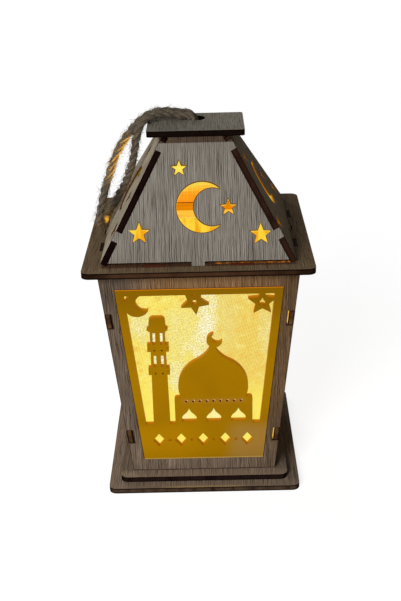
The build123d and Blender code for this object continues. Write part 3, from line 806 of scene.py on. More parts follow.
@dataclass(frozen=True)
class EaveFinish(PlateFinish):
    """Board of the eave: shaded along the roof's foot, lit in its well, with a leak at the front right."""

    roof_foot: Colour = (0.52, 0.37, 0.36, 1.0)
    foot_reach: Span = mm(2.4, 0.6)
    foot_inset: float = 2.0 * MM
    edge_shade: float = 0.68
    edge_ends: Span = mm(38.0, 50.0)
    edge_right: Span = mm(8.0, 47.0)
    edge_right_share: float = 0.6
    well_inset: Span = mm(4.3, 5.1)
    well_face: Span = (0.2, 1.3)
    well_edge: Span = (0.62, 0.6)
    leak_inset: float = 2.0 * MM
    leak_half: Span = mm(1.4, 0.6)
    leak_left: Span = mm(7.0, 10.0)
    leak_right: Span = mm(45.0, 43.0)
    spark_size: Span = mm(2.2, 2.2)
    spark_seed: float = 4.0
    spark_span: Span = (0.46, 0.72)
    spark_level: Span = (0.07, 0.5)

    def _shaded(self, spot: Spot, colour: Wire, patches: Wire) -> Wire:
        """Lay the shade of the roof's front and back foot on the veneer.

        Args:
            spot: Place on the plate.
            colour: Veneer in even light.
            patches: Slow change over the sheet; not used.

        Returns:
            The shaded veneer.
        """
        half = RoofShape.read().half
        near = (spot.backward().absolute() - half).rise(*self.foot_reach)
        near = near * spot.across.absolute().rise(half, half - self.foot_inset)
        return super()._shaded(spot, spot.surface.tint(near, colour, self.roof_foot), patches)

    def _edge(self, spot: Spot, seed: float) -> Wire:
        """Cut edge, with painted shade towards both ends and the right."""
        ends = spot.across.absolute().rise(*self.edge_ends)
        ends = ends.larger(spot.across.rise(*self.edge_right) * self.edge_right_share)
        return super()._edge(spot, seed) * (1.0 - ends * self.edge_shade)

    def _glow(self, spot: Spot) -> Wire:
        """Light the well under the roof and the gap at the roof's foot.

        Args:
            spot: Place on the plate.

        Returns:
            The emitted colour.
        """
        surface, across, half = spot.surface, spot.across, RoofShape.read().half
        streaks = self._streaks(spot)
        reach = across.absolute().larger(spot.backward().absolute())
        well = reach.rise(*(half - inset for inset in self.well_inset))
        on_face, on_edge = streaks.scaled(*self.well_face), streaks.scaled(*self.well_edge)
        level = surface.mix(1.0 - spot.flat(), on_face, on_edge)
        gap = (spot.backward() + (half - self.leak_inset)).absolute().rise(*self.leak_half)
        gap = gap * across.rise(*self.leak_left) * across.rise(*self.leak_right)
        sparks = spot.noise(self.spark_size, self.spark_seed).rise(*self.spark_span)
        return self.glow_low * (well * level) + self.glow_low * (gap * sparks.scaled(*self.spark_level))


# Finishes of the screen, the film and the rope


@dataclass(frozen=True)
class GoldFinish:
    """Gold-backed acrylic sheet, glossy, with clear cut edges that pipe the light, painted as a glow, and a
    painted highlight on the top edge.
    """

    gold: Colour = paint(166, 119, 0)
    deep: Colour = paint(160, 113, 0)
    lit_gold: Colour = paint(176, 126, 0)
    shade: Colour = paint(134, 94, 3)
    sheen: Colour = paint(166, 128, 64)
    edge: Colour = paint(160, 104, 6)
    edge_glow: Colour = paint(130, 82, 8)
    rim_glow: Colour = paint(84, 52, 2)
    crest_glow: Colour = paint(178, 102, 12)
    hole: Colour = paint(96, 48, 16)
    hole_glow: Colour = paint(58, 26, 8)
    halo: Colour = paint(178, 122, 50)
    glint: Colour = paint(240, 206, 160)
    foot_highlight: Colour = paint(214, 176, 92)
    thickness: float = 3.0 * MM
    cloud_size: Span = mm(30.0, 30.0)
    cloud_span: Span = (0.42, 0.66)
    cloud_bump: Span = (0.1, 0.3 * MM)
    shade_climb: Span = mm(74.0, 102.0)
    shade_share: float = 0.85
    lit_gold_across: Span = mm(6.0, -14.0)
    lit_gold_climb: Span = mm(27.0, 16.0)
    sheen_slant: float = 0.12
    sheen_ragged: float = 12.0 * MM
    sheen_across: Span = mm(7.0, 18.0)
    sheen_climb: Span = mm(26.0, 17.0)
    sheen_share: float = 0.66
    foot_highlight_height: Span = mm(0.9, 0.4)
    foot_highlight_share: float = 0.7
    halo_share: float = 0.36
    glint_share: float = 0.8
    scratch_size: Span = mm(0.5, 6.0)
    metallic: float = 0.45
    roughness: Point = (0.3, 0.08, 0.06)
    gloss: float = 0.02
    bead_row: Span = mm(5.85, 36.9)
    bead_spacing: float = 3.52 * MM
    bead_half: Span = mm(16.0, 15.4)
    bead_height: Span = mm(1.5, 1.2)
    halo_half: Span = mm(18.0, 15.0)
    halo_height: Span = mm(2.6, 0.4)
    halo_lift: float = 0.4 * MM
    glint_half: Span = mm(15.8, 15.4)
    glint_height: Span = mm(0.6, 0.25)
    glint_lift: float = 0.7 * MM
    glint_shift: float = 0.5 * MM
    glint_span: Span = (0.45, 0.95)
    stud_across: float = -21.35 * MM
    stud_half: Span = mm(3.4, 3.2)
    stud_rows: Span = mm(54.9, 68.8)
    stud_height: Span = mm(1.0, 0.8)

    def dress(self, name: str, sheet: SheetPlace, seed: float) -> bpy.types.Material:
        """Make the material of one screen.

        Args:
            name: Name of the material.
            sheet: Where the screen lies.
            seed: Shifts the clouds in the gold.

        Returns:
            The material.
        """
        spot = Spot.on(name, sheet)
        surface, flat = spot.surface, spot.flat()
        cloud = spot.noise(self.cloud_size, seed)
        scratches = spot.noise(self.scratch_size, seed, Layer.SCRATCHES)
        drilled = self._drilled(spot)
        glow = surface.mix(spot.depth.rise(0.0, self.thickness), self.rim_glow, self.edge_glow)
        # painted highlight on the top cut edge, where the light catches it
        glow = surface.mix(spot.at_head(), glow, self.crest_glow)
        rough, cloud_rough, scratch_rough = self.roughness
        edge = surface.mix(drilled, self.edge, self.hole)
        feeds = {
            "Base Color": surface.mix(flat, edge, self._face(spot, cloud)),
            "Metallic": flat * self.metallic,
            "Roughness": cloud.scaled(rough, cloud_rough) + scratches * scratch_rough,
            "Specular IOR Level": self.gloss,
            "Emission Color": surface.mix(drilled, glow, self.hole_glow) * (1.0 - flat),
            "Emission Strength": 1.0,
            "Normal": surface.bump(cloud, *self.cloud_bump),
        }
        return surface.principled(feeds)

    def _face(self, spot: Spot, cloud: Wire) -> Wire:
        """Colour the gold face.

        Args:
            spot: Place on the screen.
            cloud: Slow change over the sheet.

        Returns:
            Gold with its painted shade, painted light at the lower left, painted sheen, painted highlight at
            its foot and painted light round the beads.
        """
        surface, across, along = spot.surface, spot.across, spot.along
        gold = surface.mix(cloud.rise(*self.cloud_span), self.gold, self.deep)
        # painted shade towards the top, under the eave
        gold = surface.mix(along.rise(*self.shade_climb) * self.shade_share, gold, self.shade)
        # painted light: brighter gold towards the lower left
        lamp_side = across.rise(*self.lit_gold_across) * along.rise(*self.lit_gold_climb)
        gold = surface.mix(lamp_side, gold, self.lit_gold)
        # painted reflection: a paler slanting sheen towards the lower right
        slant = across - along * self.sheen_slant + cloud.centred(self.sheen_ragged)
        sheen = slant.rise(*self.sheen_across) * along.rise(*self.sheen_climb)
        gold = surface.mix(sheen * self.sheen_share, gold, self.sheen)
        # painted highlight along the foot edge of the gold
        gold = surface.mix(along.rise(*self.foot_highlight_height) * self.foot_highlight_share, gold, self.foot_highlight)
        band, glints = self._bead_light(spot)
        gold = surface.mix(band * self.halo_share, gold, self.halo)
        return surface.mix(glints * self.glint_share, gold, self.glint)

    def _bead_light(self, spot: Spot) -> tuple[Wire, Wire]:
        """Find the light round the row of beads.

        Args:
            spot: Place on the screen.

        Returns:
            Warm band along the row, and the glint at the upper right of each bead.
        """
        side, height = spot.across - self.bead_row[0], spot.along - self.bead_row[1]
        band = (height - self.halo_lift).absolute().rise(*self.halo_height)
        spots = ((side + self.glint_shift) * (FULL_TURN / self.bead_spacing)).sine().rise(*self.glint_span)
        spots = spots * side.absolute().rise(*self.glint_half)
        glints = spots * (height - self.glint_lift).absolute().rise(*self.glint_height)
        return band * side.absolute().rise(*self.halo_half), glints

    def _drilled(self, spot: Spot) -> Wire:
        """Find the small drilled holes, whose walls stay dark.

        Args:
            spot: Place on the screen.

        Returns:
            One at the beads of the hall and at the studs of the tower.
        """
        beads = (spot.along - self.bead_row[1]).absolute().rise(*self.bead_height)
        beads = beads * (spot.across - self.bead_row[0]).absolute().rise(*self.bead_half)
        studs = (spot.across - self.stud_across).absolute().rise(*self.stud_half)
        low, high = ((spot.along - row).absolute() for row in self.stud_rows)
        return beads.larger(studs * low.smaller(high).rise(*self.stud_height))


@dataclass(frozen=True)
class Sparkle:
    """Oval of the film where the lamp shines through, in metres from the wall's middle and foot."""

    across: float
    along: float
    wide: float
    tall: float
    share: float


@dataclass(frozen=True)
class FilmFinish:
    """Woven translucent film, lit from behind by the lamp."""

    warm: Colour = paint(237, 205, 92)
    soft: Colour = paint(252, 234, 100)
    pale: Colour = paint(251, 240, 144)
    haze: Colour = paint(255, 250, 206)
    white: Colour = paint(255, 255, 250)
    shade: Colour = paint(204, 162, 62)
    olive: Colour = paint(208, 200, 132)
    amber: Colour = paint(239, 188, 62)
    body: Colour = paint(60, 50, 24)
    body_share: float = 0.12
    inside: Colour = paint(253, 213, 60)
    inside_low: Colour = paint(241, 166, 26)
    cloud_size: Span = mm(7.0, 9.0)
    cloud_roughness: float = 0.68
    ragged: float = 12.0 * MM
    bright_tone: Span = (0.1, 1.7)
    soft_across: Span = mm(16.0, -6.0)
    soft_ragged: float = 30.0 * MM
    soft_low: Span = mm(64.0, 40.0)
    pale_span: Span = (0.1, 0.7)
    pale_share: float = 0.8
    weave: float = 1.1 * MM
    weave_slant: Span = (0.82, 0.57)
    weave_uneven: float = 2.0
    weave_climb: Span = mm(36.0, 70.0)
    weave_level: Span = (0.14, 0.7)
    uneven_size: Span = mm(1.6, 1.6)
    uneven_span: Span = (0.3, 0.6)
    thread_dark: Span = (0.0, 0.8)
    thread_pale: Span = (0.0, -0.7)
    thread_pale_share: float = 0.9
    blotch_size: Span = mm(4.2, 5.6)
    blotch_roughness: float = 0.66
    amber_span: Span = (0.5, 0.66)
    amber_share: float = 1.1
    amber_dark: Span = (0.5, 0.1)
    blotch_pale: Span = (0.47, 0.32)
    haze_span: Span = (0.4, 1.05)
    haze_share: float = 0.7
    speck_size: Span = mm(0.8, 0.8)
    olive_span: Span = (0.51, 0.36)
    olive_bright: Span = (0.05, 0.5)
    olive_climb: Span = mm(38.0, 60.0)
    olive_share: float = 0.85
    white_lift: float = 0.14
    white_span: Span = (0.56, 0.8)
    white_bright: Span = (0.1, 0.9)
    white_share: float = 0.9
    column_size: Span = mm(5.0, 40.0)
    column_span: Span = (0.52, 0.64)
    inside_span: Span = (0.5, 0.3)
    roughness: Span = (0.6, 0.2)
    gloss: float = 0.05
    glow_strength: float = 0.98
    sparkle_edge: float = 3.2
    sparkles: tuple[Sparkle, ...] = (
        Sparkle(*mm(5.2, 102.0, 3.4, 9.0), 0.72), Sparkle(*mm(3.0, 91.7, 4.6, 9.5), 0.8),
        Sparkle(*mm(-0.8, 77.1, 4.6, 10.0), 0.72), Sparkle(*mm(-29.4, 89.6, 4.8, 9.0), 0.55),
        Sparkle(*mm(-12.0, 59.0, 5.0, 9.0), 0.62), Sparkle(*mm(33.8, 85.0, 4.0, 12.0), 0.42),
        Sparkle(*mm(-9.0, 84.0, 9.0, 15.0), 0.45), Sparkle(*mm(9.0, 92.0, 9.0, 20.0), 0.34),
        Sparkle(*mm(-21.4, 83.5, 3.0, 4.6), 1.0), Sparkle(*mm(-21.4, 69.5, 3.0, 4.2), 0.95),
        Sparkle(*mm(-7.0, 35.5, 4.4, 4.4), 0.5), Sparkle(*mm(5.8, 35.5, 4.4, 4.4), 0.62),
        Sparkle(*mm(18.6, 35.5, 4.4, 4.4), 0.5))

    def dress(self, name: str, sheet: SheetPlace, seed: float) -> bpy.types.Material:
        """Make the material of one film.

        Args:
            name: Name of the material.
            sheet: Where the film lies.
            seed: Shifts the cloudy patches.

        Returns:
            The material.
        """
        spot = Spot.on(name, sheet)
        spot = replace(spot, along=spot.along + self.foot_gap(sheet))
        surface = spot.surface
        cloud = spot.noise(self.cloud_size, seed, Layer.MAIN, 4.0, self.cloud_roughness)
        bright = self._sparkle(spot, cloud.centred(self.ragged)) * cloud.scaled(*self.bright_tone)
        colour = self._ground(spot, cloud, bright)
        colour = self._woven(spot, colour, bright, seed)
        colour = self._specked(spot, colour, bright, seed)
        columns = spot.noise(self.column_size, seed, Layer.COLUMNS).rise(*self.column_span)
        behind = surface.mix(cloud.rise(*self.inside_span).larger(columns), self.inside, self.inside_low)
        feeds = {
            "Base Color": surface.mix(cloud, self.body, self.shade) * self.body_share,
            "Roughness": cloud.scaled(*self.roughness),
            "Specular IOR Level": self.gloss,
            "Emission Color": surface.mix(spot.inner(), colour, behind),
            "Emission Strength": self.glow_strength,
        }
        return surface.principled(feeds)

    @staticmethod
    def foot_gap(sheet: SheetPlace) -> float:
        """Height of the film's foot above the wall's foot, up the slope.

        Args:
            sheet: Where the film lies.

        Returns:
            The height in metres.
        """
        low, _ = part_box("front_diffuser")
        _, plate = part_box("upper_base_plate")
        return (low.z - plate.z) / sheet.along.z

    def _sparkle(self, spot: Spot, ragged: Wire) -> Wire:
        """Find where the lamp shines through most.

        Args:
            spot: Place on the film.
            ragged: Uneven shift of the ovals' outlines.

        Returns:
            Soft ovals, from zero to one.
        """
        across, along = spot.across + ragged, spot.along + ragged
        total = None
        for oval in self.sparkles:
            side, height = (across - oval.across) / oval.wide, (along - oval.along) / oval.tall
            light = (side * side + height * height).rise(self.sparkle_edge, 0.0) * oval.share
            total = light if total is None else total.larger(light)
        return total

    def _ground(self, spot: Spot, cloud: Wire, bright: Wire) -> Wire:
        """Colour the film before its weave.

        Args:
            spot: Place on the film.
            cloud: Slow change over the sheet.
            bright: Where the lamp shines through.

        Returns:
            Warm at the right, softer at the left and below, pale at the lamp.
        """
        low = spot.along.rise(*self.soft_low)
        left = (spot.across + cloud.centred(self.soft_ragged)).rise(*self.soft_across).larger(low)
        colour = spot.surface.mix(left, self.warm, self.soft)
        return spot.surface.mix(bright.rise(*self.pale_span) * self.pale_share, colour, self.pale)

    def _woven(self, spot: Spot, colour: Wire, bright: Wire, seed: float) -> Wire:
        """Lay the blotches and the threads of the weave over the film.

        Args:
            spot: Place on the film.
            colour: Film before its weave.
            bright: Where the lamp shines through.
            seed: Shift of the film.

        Returns:
            The woven colour.
        """
        surface = spot.surface
        woven = spot.along.rise(*self.weave_climb).scaled(*self.weave_level)
        blotch = spot.noise(self.blotch_size, seed, Layer.BLOTCHES, 4.0, self.blotch_roughness)
        amber = blotch.rise(*self.amber_span) * woven * self.amber_share * bright.rise(*self.amber_dark)
        colour = surface.mix(amber, colour, self.amber)
        colour = surface.mix(blotch.rise(*self.blotch_pale) * woven, colour, self.pale)
        dots, uneven = self._threads(spot, seed)
        dark = dots.rise(*self.thread_dark) * uneven.rise(*self.uneven_span) * woven
        colour = surface.mix(dark, colour, self.shade)
        return surface.mix(dots.rise(*self.thread_pale) * woven * self.thread_pale_share, colour, self.pale)

    def _threads(self, spot: Spot, seed: float) -> tuple[Wire, Wire]:
        """Cross two sets of slanting threads.

        Args:
            spot: Place on the film.
            seed: Shift of the film.

        Returns:
            The lattice, from -1 to 1, and its uneven strength.
        """
        turn = FULL_TURN / self.weave
        steep, slack = self.weave_slant
        uneven = spot.noise(self.uneven_size, seed, Layer.THREADS)
        push = uneven * self.weave_uneven
        first = ((spot.across * steep + spot.along * slack) * turn + push).sine()
        second = ((spot.along * steep - spot.across * slack) * turn - push).sine()
        return first * second, uneven

    def _specked(self, spot: Spot, colour: Wire, bright: Wire, seed: float) -> Wire:
        """Lay the haze and the fine specks of the lamp over the weave.

        Args:
            spot: Place on the film.
            colour: Woven film.
            bright: Where the lamp shines through.
            seed: Shift of the film.

        Returns:
            The lit colour.
        """
        surface = spot.surface
        colour = surface.mix(bright.rise(*self.haze_span) * self.haze_share, colour, self.haze)
        speck = spot.noise(self.speck_size, seed, Layer.SPECKS, 1.0)
        dark = speck.rise(*self.olive_span) * bright.rise(*self.olive_bright)
        dark = dark * spot.along.rise(*self.olive_climb)
        colour = surface.mix(dark * self.olive_share, colour, self.olive)
        white = (speck + bright * self.white_lift).rise(*self.white_span) * bright.rise(*self.white_bright)
        return surface.mix(white * self.white_share, colour, self.white)


@dataclass(frozen=True)
class JuteFinish:
    """Twisted natural fibre, grey-brown, with darker fibres in the lay."""

    body: Colour = paint(104, 94, 80)
    dark: Colour = paint(50, 42, 34)
    pale: Colour = paint(150, 138, 118)
    dark_span: Span = (0.5, 0.3)
    pale_span: Span = (0.54, 0.74)
    patch_size: float = 6.0 * MM
    patch_tone: Span = (0.7, 0.6)
    fibre_turns: float = 26.0
    fibre_pitch: float = 0.6 * MM
    fibre_length: float = 9.0 * MM
    fibre_shift: float = 2.0
    fibre_roughness: float = 0.65
    fibre_bump: Span = (0.8, 0.25 * MM)
    roughness: Span = (0.86, 0.1)
    gloss: float = 0.05
    sheen: float = 0.1
    lamplight: Colour = paint(255, 186, 62)
    lamp_strength: float = 1.25
    lamp_span: Span = (0.3, 0.62)
    lit_low: Span = mm(154.0, 164.0)
    lit_high: Span = mm(183.0, 178.0)
    lit_side: Point = (0.84, 0.1, -0.5)
    lit_turn: Span = (-0.1, 0.6)
    outer_slope: float = 0.342
    outer_from: float = 94.0 * MM
    outer_blur: Span = mm(0.6, -0.6)
    bend_heights: Span = mm(143.0, 133.0)
    bend_share: float = 0.05
    spark_place: Point = mm(-48.0, 7.0, 133.2)
    spark_reach: Span = mm(2.9, 0.9)
    spark_share: float = 0.9

    def dress(self, name: str) -> bpy.types.Material:
        """Make the rope's material, whose map holds metres along and turns around a strand.

        Args:
            name: Name of the material.

        Returns:
            The material.
        """
        surface = Surface(name)
        lay = surface.node("UVMap", {"uv_map": StrandMesh.MAP})
        along, around = lay.dot(RIGHT), lay.dot(BACK)
        twisted = around * self.fibre_turns + along / self.fibre_pitch
        fibre = surface.noise(surface.vector(twisted, along / self.fibre_length, self.fibre_shift), 3.0,
                              self.fibre_roughness)
        patches = surface.noise(surface.place() / self.patch_size)
        colour = surface.mix(fibre.rise(*self.dark_span), self.body, self.dark)
        colour = surface.mix(fibre.rise(*self.pale_span), colour, self.pale)
        feeds = {
            "Base Color": colour * patches.scaled(*self.patch_tone),
            "Roughness": fibre.scaled(*self.roughness),
            "Specular IOR Level": self.gloss,
            "Sheen Weight": self.sheen,
            "Emission Color": self.lamplight * (self._lit(surface) * fibre.rise(*self.lamp_span)),
            "Emission Strength": self.lamp_strength,
            "Normal": surface.bump(fibre, *self.fibre_bump),
        }
        return surface.principled(feeds)

    def _lit(self, surface: Surface) -> Wire:
        """Find where light falls on the rope from the left panel's cut-outs.

        Args:
            surface: Tree that takes the nodes.

        Returns:
            Share of the light on the outer run, round the bend and at the spark.
        """
        place = surface.place()
        side, height = place.dot(RIGHT), place.dot(UP)
        outer = (side - height * self.outer_slope + self.outer_from).rise(*self.outer_blur)
        reach = height.rise(*self.lit_low) * height.rise(*self.lit_high)
        turned = surface.normal().dot(self.lit_side).rise(*self.lit_turn)
        away = surface.node("VectorMath", {"operation": "DISTANCE"}, {0: place, 1: self.spark_place}, "Value")
        bend = height.rise(*self.bend_heights) * self.bend_share
        return outer * reach * turned + (bend + away.rise(*self.spark_reach) * self.spark_share)


# Finishes of the light


@dataclass(frozen=True)
class MouldedFinish:
    """Moulded plastic with a fine grain and faint flow marks."""

    body: Colour
    shade: Colour
    roughness: float = 0.42
    grain: float = 0.5 * MM
    glow: Colour = grey(0.0)
    glow_strength: float = 0.0
    flow_size: float = 9.0 * MM
    flow_span: Span = (0.42, 0.7)
    roughness_swing: float = 0.16
    gloss: float = 0.4
    grain_bump: Span = (0.15, 0.08 * MM)

    def dress(self, name: str) -> bpy.types.Material:
        """Make the material.

        Args:
            name: Name of the material.

        Returns:
            The material.
        """
        surface = Surface(name)
        place = surface.place()
        flow = surface.noise(place / self.flow_size)
        grain = surface.noise(place / self.grain)
        feeds = {
            "Base Color": surface.mix(flow.rise(*self.flow_span), self.body, self.shade),
            "Roughness": self.roughness + grain.centred(self.roughness_swing),
            "Specular IOR Level": self.gloss,
            "Emission Color": self.glow,
            "Emission Strength": self.glow_strength,
            "Normal": surface.bump(grain, *self.grain_bump),
        }
        return surface.principled(feeds)


@dataclass(frozen=True)
class PlatedFinish:
    """Plated steel with fine rolling marks from front to back."""

    body: Colour
    mark: Colour
    roughness: float = 0.28
    roughness_swing: float = 0.2
    mark_size: Span = mm(0.3, 6.0)
    mark_span: Span = (0.4, 0.7)
    mark_bump: Span = (0.1, 0.05 * MM)

    def dress(self, name: str) -> bpy.types.Material:
        """Make the material.

        Args:
            name: Name of the material.

        Returns:
            The material.
        """
        surface = Surface(name)
        place = surface.place()
        wide, long = self.mark_size
        marks = surface.noise(surface.vector(place.dot(RIGHT) / wide, place.dot(BACK) / long, 0.0))
        feeds = {
            "Base Color": surface.mix(marks.rise(*self.mark_span), self.body, self.mark),
            "Metallic": 1.0,
            "Roughness": self.roughness + marks.centred(self.roughness_swing),
            "Normal": surface.bump(marks, *self.mark_bump),
        }
        return surface.principled(feeds)


@dataclass(frozen=True)
class CircuitFinish:
    """Lacquered circuit board with square-cornered copper runs under the lacquer."""

    lacquer: Colour = paint(24, 92, 58)
    copper: Colour = paint(70, 138, 84)
    pitch: float = 2.4 * MM
    run_span: Span = (0.42, 0.47)
    run_bump: Span = (0.3, 0.05 * MM)
    weave_size: float = 0.4 * MM
    weave_tone: Span = (0.9, 0.2)
    roughness: Span = (0.32, 0.1)
    coat: float = 0.4

    def dress(self, name: str) -> bpy.types.Material:
        """Make the material.

        Args:
            name: Name of the material.

        Returns:
            The material.
        """
        surface = Surface(name)
        place = surface.place()
        cells = {"distance": "CHEBYCHEV", "feature": "F1"}
        runs = surface.node("TexVoronoi", cells, {"Vector": place / self.pitch, "Scale": 1.0}, "Distance")
        copper = runs.rise(*self.run_span)
        weave = surface.noise(place / self.weave_size, 1.0)
        feeds = {
            "Base Color": surface.mix(copper, self.lacquer, self.copper) * weave.scaled(*self.weave_tone),
            "Roughness": weave.scaled(*self.roughness),
            "Coat Weight": self.coat,
            "Normal": surface.bump(copper, *self.run_bump),
        }
        return surface.principled(feeds)


# Meshes


def piece(name: str, vertices: Sequence[Sequence[float]], faces: Sequence[Sequence[int]],
          finish: bpy.types.Material, body: str, smooth: bool = True) -> bpy.types.Object:
    """Make a mesh piece that rides on a body.

    Args:
        name: Name of the piece.
        vertices: Corner points in metres.
        faces: Corners of each face.
        finish: Its material.
        body: Body of the construction that carries it.
        smooth: Whether its faces are shaded as one curved surface.

    Returns:
        The object.
    """
    mesh = bpy.data.meshes.new(name)
    mesh.from_pydata([tuple(vertex) for vertex in vertices], [], [tuple(face) for face in faces])
    mesh.polygons.foreach_set("use_smooth", [smooth] * len(mesh.polygons))
    mesh.materials.append(finish)
    mesh.update()
    made = bpy.data.objects.new(name, mesh)
    bpy.context.scene.collection.objects.link(made)
    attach(made, body)
    log.info("piece %s: %d faces", name, len(mesh.polygons))
    return made


def dress_node(name: str, finish: bpy.types.Material) -> None:
    """Give a node of the construction its finish.

    Args:
        name: Node of the construction.
        finish: Its material.
    """
    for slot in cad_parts[name].material_slots:
        slot.material = finish
    log.info("node %s: %s", name, finish.name)


def run_of(points: np.ndarray) -> np.ndarray:
    """Distance along a line at each of its points."""
    return np.concatenate(([0.0], np.cumsum(np.linalg.norm(np.diff(points, axis=0), axis=1))))


def resample(points: np.ndarray, step: float) -> np.ndarray:
    """Points at even steps along a line.

    Args:
        points: Corners of the line.
        step: Distance wanted between two points.

    Returns:
        The new points, with both ends kept.
    """
    run = run_of(points)
    count = max(2, int(round(run[-1] / step)) + 1)
    wanted = np.linspace(0.0, run[-1], count)
    return np.stack([np.interp(wanted, run, points[:, axis]) for axis in range(3)], axis=1)


@dataclass
class StrandMesh:
    """Strands laid round a line, as one mesh with a map along and around them."""

    MAP: ClassVar[str] = "lay"
    START_AXIS: ClassVar[Point] = (0.3, 1.0, 0.2)
    line: np.ndarray
    diameter: float
    strands: int = 3
    lay: float = 15.0 * MM
    sides: int = 10
    strands_across: float = 2.02
    uneven_waves: Point = mm(0.9, 2.1, 3.7)
    uneven_share: float = 0.07
    vertices: list = field(default_factory=list)
    faces: list = field(default_factory=list)
    map_points: list = field(default_factory=list)

    def frames(self) -> tuple[np.ndarray, np.ndarray, np.ndarray]:
        """Find the directions at each point of the line, turned as little as possible.

        Returns:
            Directions along, beside and over the line.
        """
        forward = np.gradient(self.line, axis=0)
        forward /= np.linalg.norm(forward, axis=1)[:, None]
        beside = np.zeros_like(forward)
        start = np.cross(forward[0], self.START_AXIS)
        beside[0] = start / np.linalg.norm(start)
        for step in range(1, len(forward)):
            carried = beside[step - 1] - forward[step] * np.dot(beside[step - 1], forward[step])
            beside[step] = carried / np.linalg.norm(carried)
        return forward, beside, np.cross(forward, beside)

    def build(self, rng: random.Random) -> "StrandMesh":
        """Lay every strand round the line.

        Args:
            rng: Seeded source of the strands' unevenness.

        Returns:
            The mesh itself.
        """
        _, beside, over = self.frames()
        run = run_of(self.line)
        strand_radius = self.diameter / 2.0 / self.strands_across
        offset = self.diameter / 2.0 - strand_radius
        for strand in range(self.strands):
            angle = FULL_TURN * (run / self.lay + strand / self.strands)
            outward = np.cos(angle)[:, None] * beside + np.sin(angle)[:, None] * over
            centre = self.line + outward * offset
            ahead = np.gradient(centre, axis=0)
            ahead /= np.linalg.norm(ahead, axis=1)[:, None]
            phases = [rng.uniform(0.0, FULL_TURN) for _ in self.uneven_waves]
            uneven = sum(np.sin(run / wave + phase) for wave, phase in zip(self.uneven_waves, phases))
            radius = strand_radius * (1.0 + self.uneven_share * uneven)
            self._rings(run, centre, outward, np.cross(ahead, outward), radius)
        return self

    def _rings(self, run: np.ndarray, centre: np.ndarray, outward: np.ndarray, sideways: np.ndarray,
               radius: np.ndarray) -> None:
        """Add one strand as rings of points joined by faces.

        Args:
            run: Distance along the line.
            centre: Middle of the strand.
            outward: Direction away from the line.
            sideways: Direction across the strand.
            radius: Radius of the strand.
        """
        first, rings = len(self.vertices), len(centre)
        for ring in range(rings):
            for side in range(self.sides):
                angle = FULL_TURN * side / self.sides
                arm = math.cos(angle) * outward[ring] + math.sin(angle) * sideways[ring]
                self.vertices.append(centre[ring] + arm * radius[ring])
        for ring in range(rings - 1):
            for side in range(self.sides):
                after = (side + 1) % self.sides
                low, high = first + ring * self.sides, first + (ring + 1) * self.sides
                self.faces.append((low + side, low + after, high + after, high + side))
                for step, turn in ((ring, side), (ring, side + 1), (ring + 1, side + 1), (ring + 1, side)):
                    self.map_points.append((run[step], turn / self.sides))
        self._cap(first, False)
        self._cap(first + (rings - 1) * self.sides, True)

    def _cap(self, first: int, last: bool) -> None:
        """Close one end of a strand.

        Args:
            first: First point of its ring.
            last: Whether it is the far end.
        """
        ring = list(range(first, first + self.sides))
        self.faces.append(tuple(ring if last else reversed(ring)))
        self.map_points.extend([(0.0, 0.0)] * self.sides)

    def make(self, name: str, finish: bpy.types.Material, body: str) -> bpy.types.Object:
        """Turn the strands into a piece with its map.

        Args:
            name: Name of the piece.
            finish: Its material.
            body: Body of the construction that carries it.

        Returns:
            The object.
        """
        made = piece(name, self.vertices, self.faces, finish, body)
        layer = made.data.uv_layers.new(name=self.MAP)
        layer.data.foreach_set("uv", np.array(self.map_points, dtype=np.float32).ravel())
        return made


@dataclass(frozen=True)
class ScorchLines:
    """Thin burnt lines that the laser leaves on a sheet's face along its cuts."""

    SECTION: ClassVar[int] = 4
    char: MouldedFinish
    width: float = 0.34 * MM
    lift: float = 0.03 * MM
    inset_share: float = 0.03
    sharpest: float = 0.5

    def draw(self, node: str, kept: Callable[[Vector], bool]) -> None:
        """Lay the lines on one sheet.

        Args:
            node: Sheet of the construction.
            kept: Tells whether an end of a cut's edge gets a line.
        """
        sheet, mesh = SheetPlace.of_node(node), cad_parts[node].data
        outer, walls = set(), {}
        for face in mesh.polygons:
            tilt = face.normal.dot(sheet.out)
            sides = [self.between(*(mesh.vertices[end].co for end in key)) for key in face.edge_keys]
            if tilt > FACING:
                outer.update(sides)
            elif abs(tilt) < EDGE_ON:
                walls.update({key: face.normal.copy() for key in sides})
        cuts = [key for key in sorted(outer & walls.keys()) if all(kept(Vector(end)) for end in key)]
        joins: dict[Point, list[Vector]] = {}
        for key in cuts:
            for end in key:
                joins.setdefault(end, []).append(walls[key])
        rank = {end: self.SECTION * place for place, end in enumerate(joins)}
        vertices = [corner for end, normals in joins.items()
                    for corner in self._corners(end, normals, sheet.out)]
        corners, faces = range(self.SECTION), []
        for key in cuts:
            ahead = Vector(key[1]) - Vector(key[0])
            start, stop = (key if ahead.cross(sheet.out).dot(walls[key]) > 0.0 else key[::-1])
            low, high = rank[start], rank[stop]
            for side in corners:
                after = (side + 1) % self.SECTION
                faces.append((low + side, high + side, high + after, low + after))
            for end, first, order in ((start, low, corners), (stop, high, reversed(corners))):
                if len(joins[end]) == 1:
                    faces.append(tuple(first + side for side in order))
        piece(node + "_scorch", vertices, faces, self.char.dress(node + "_char"), "lantern", smooth=False)

    def _corners(self, end: Point, normals: Sequence[Vector], out: Vector) -> list[Vector]:
        """Find the line's section at one end, mitred between the cuts that meet there.

        Args:
            end: Point of the cut.
            normals: Directions that the walls of the cut look there.
            out: Outward side of the sheet.

        Returns:
            Its four corners.
        """
        first, last = normals[0], normals[-1]
        away = (first + last) * (-self.width / max(1.0 + first.dot(last), self.sharpest))
        near, lift = Vector(end) + away * self.inset_share, out * self.lift
        far = near + away
        return [near + lift, far + lift, far - lift, near - lift]

    @staticmethod
    def between(first: Vector, second: Vector) -> tuple[Point, ...]:
        """Two ends in a fixed order, to the micrometre."""
        return tuple(sorted(tuple(round(value, 6) for value in end) for end in (first, second)))


# Sub-assemblies


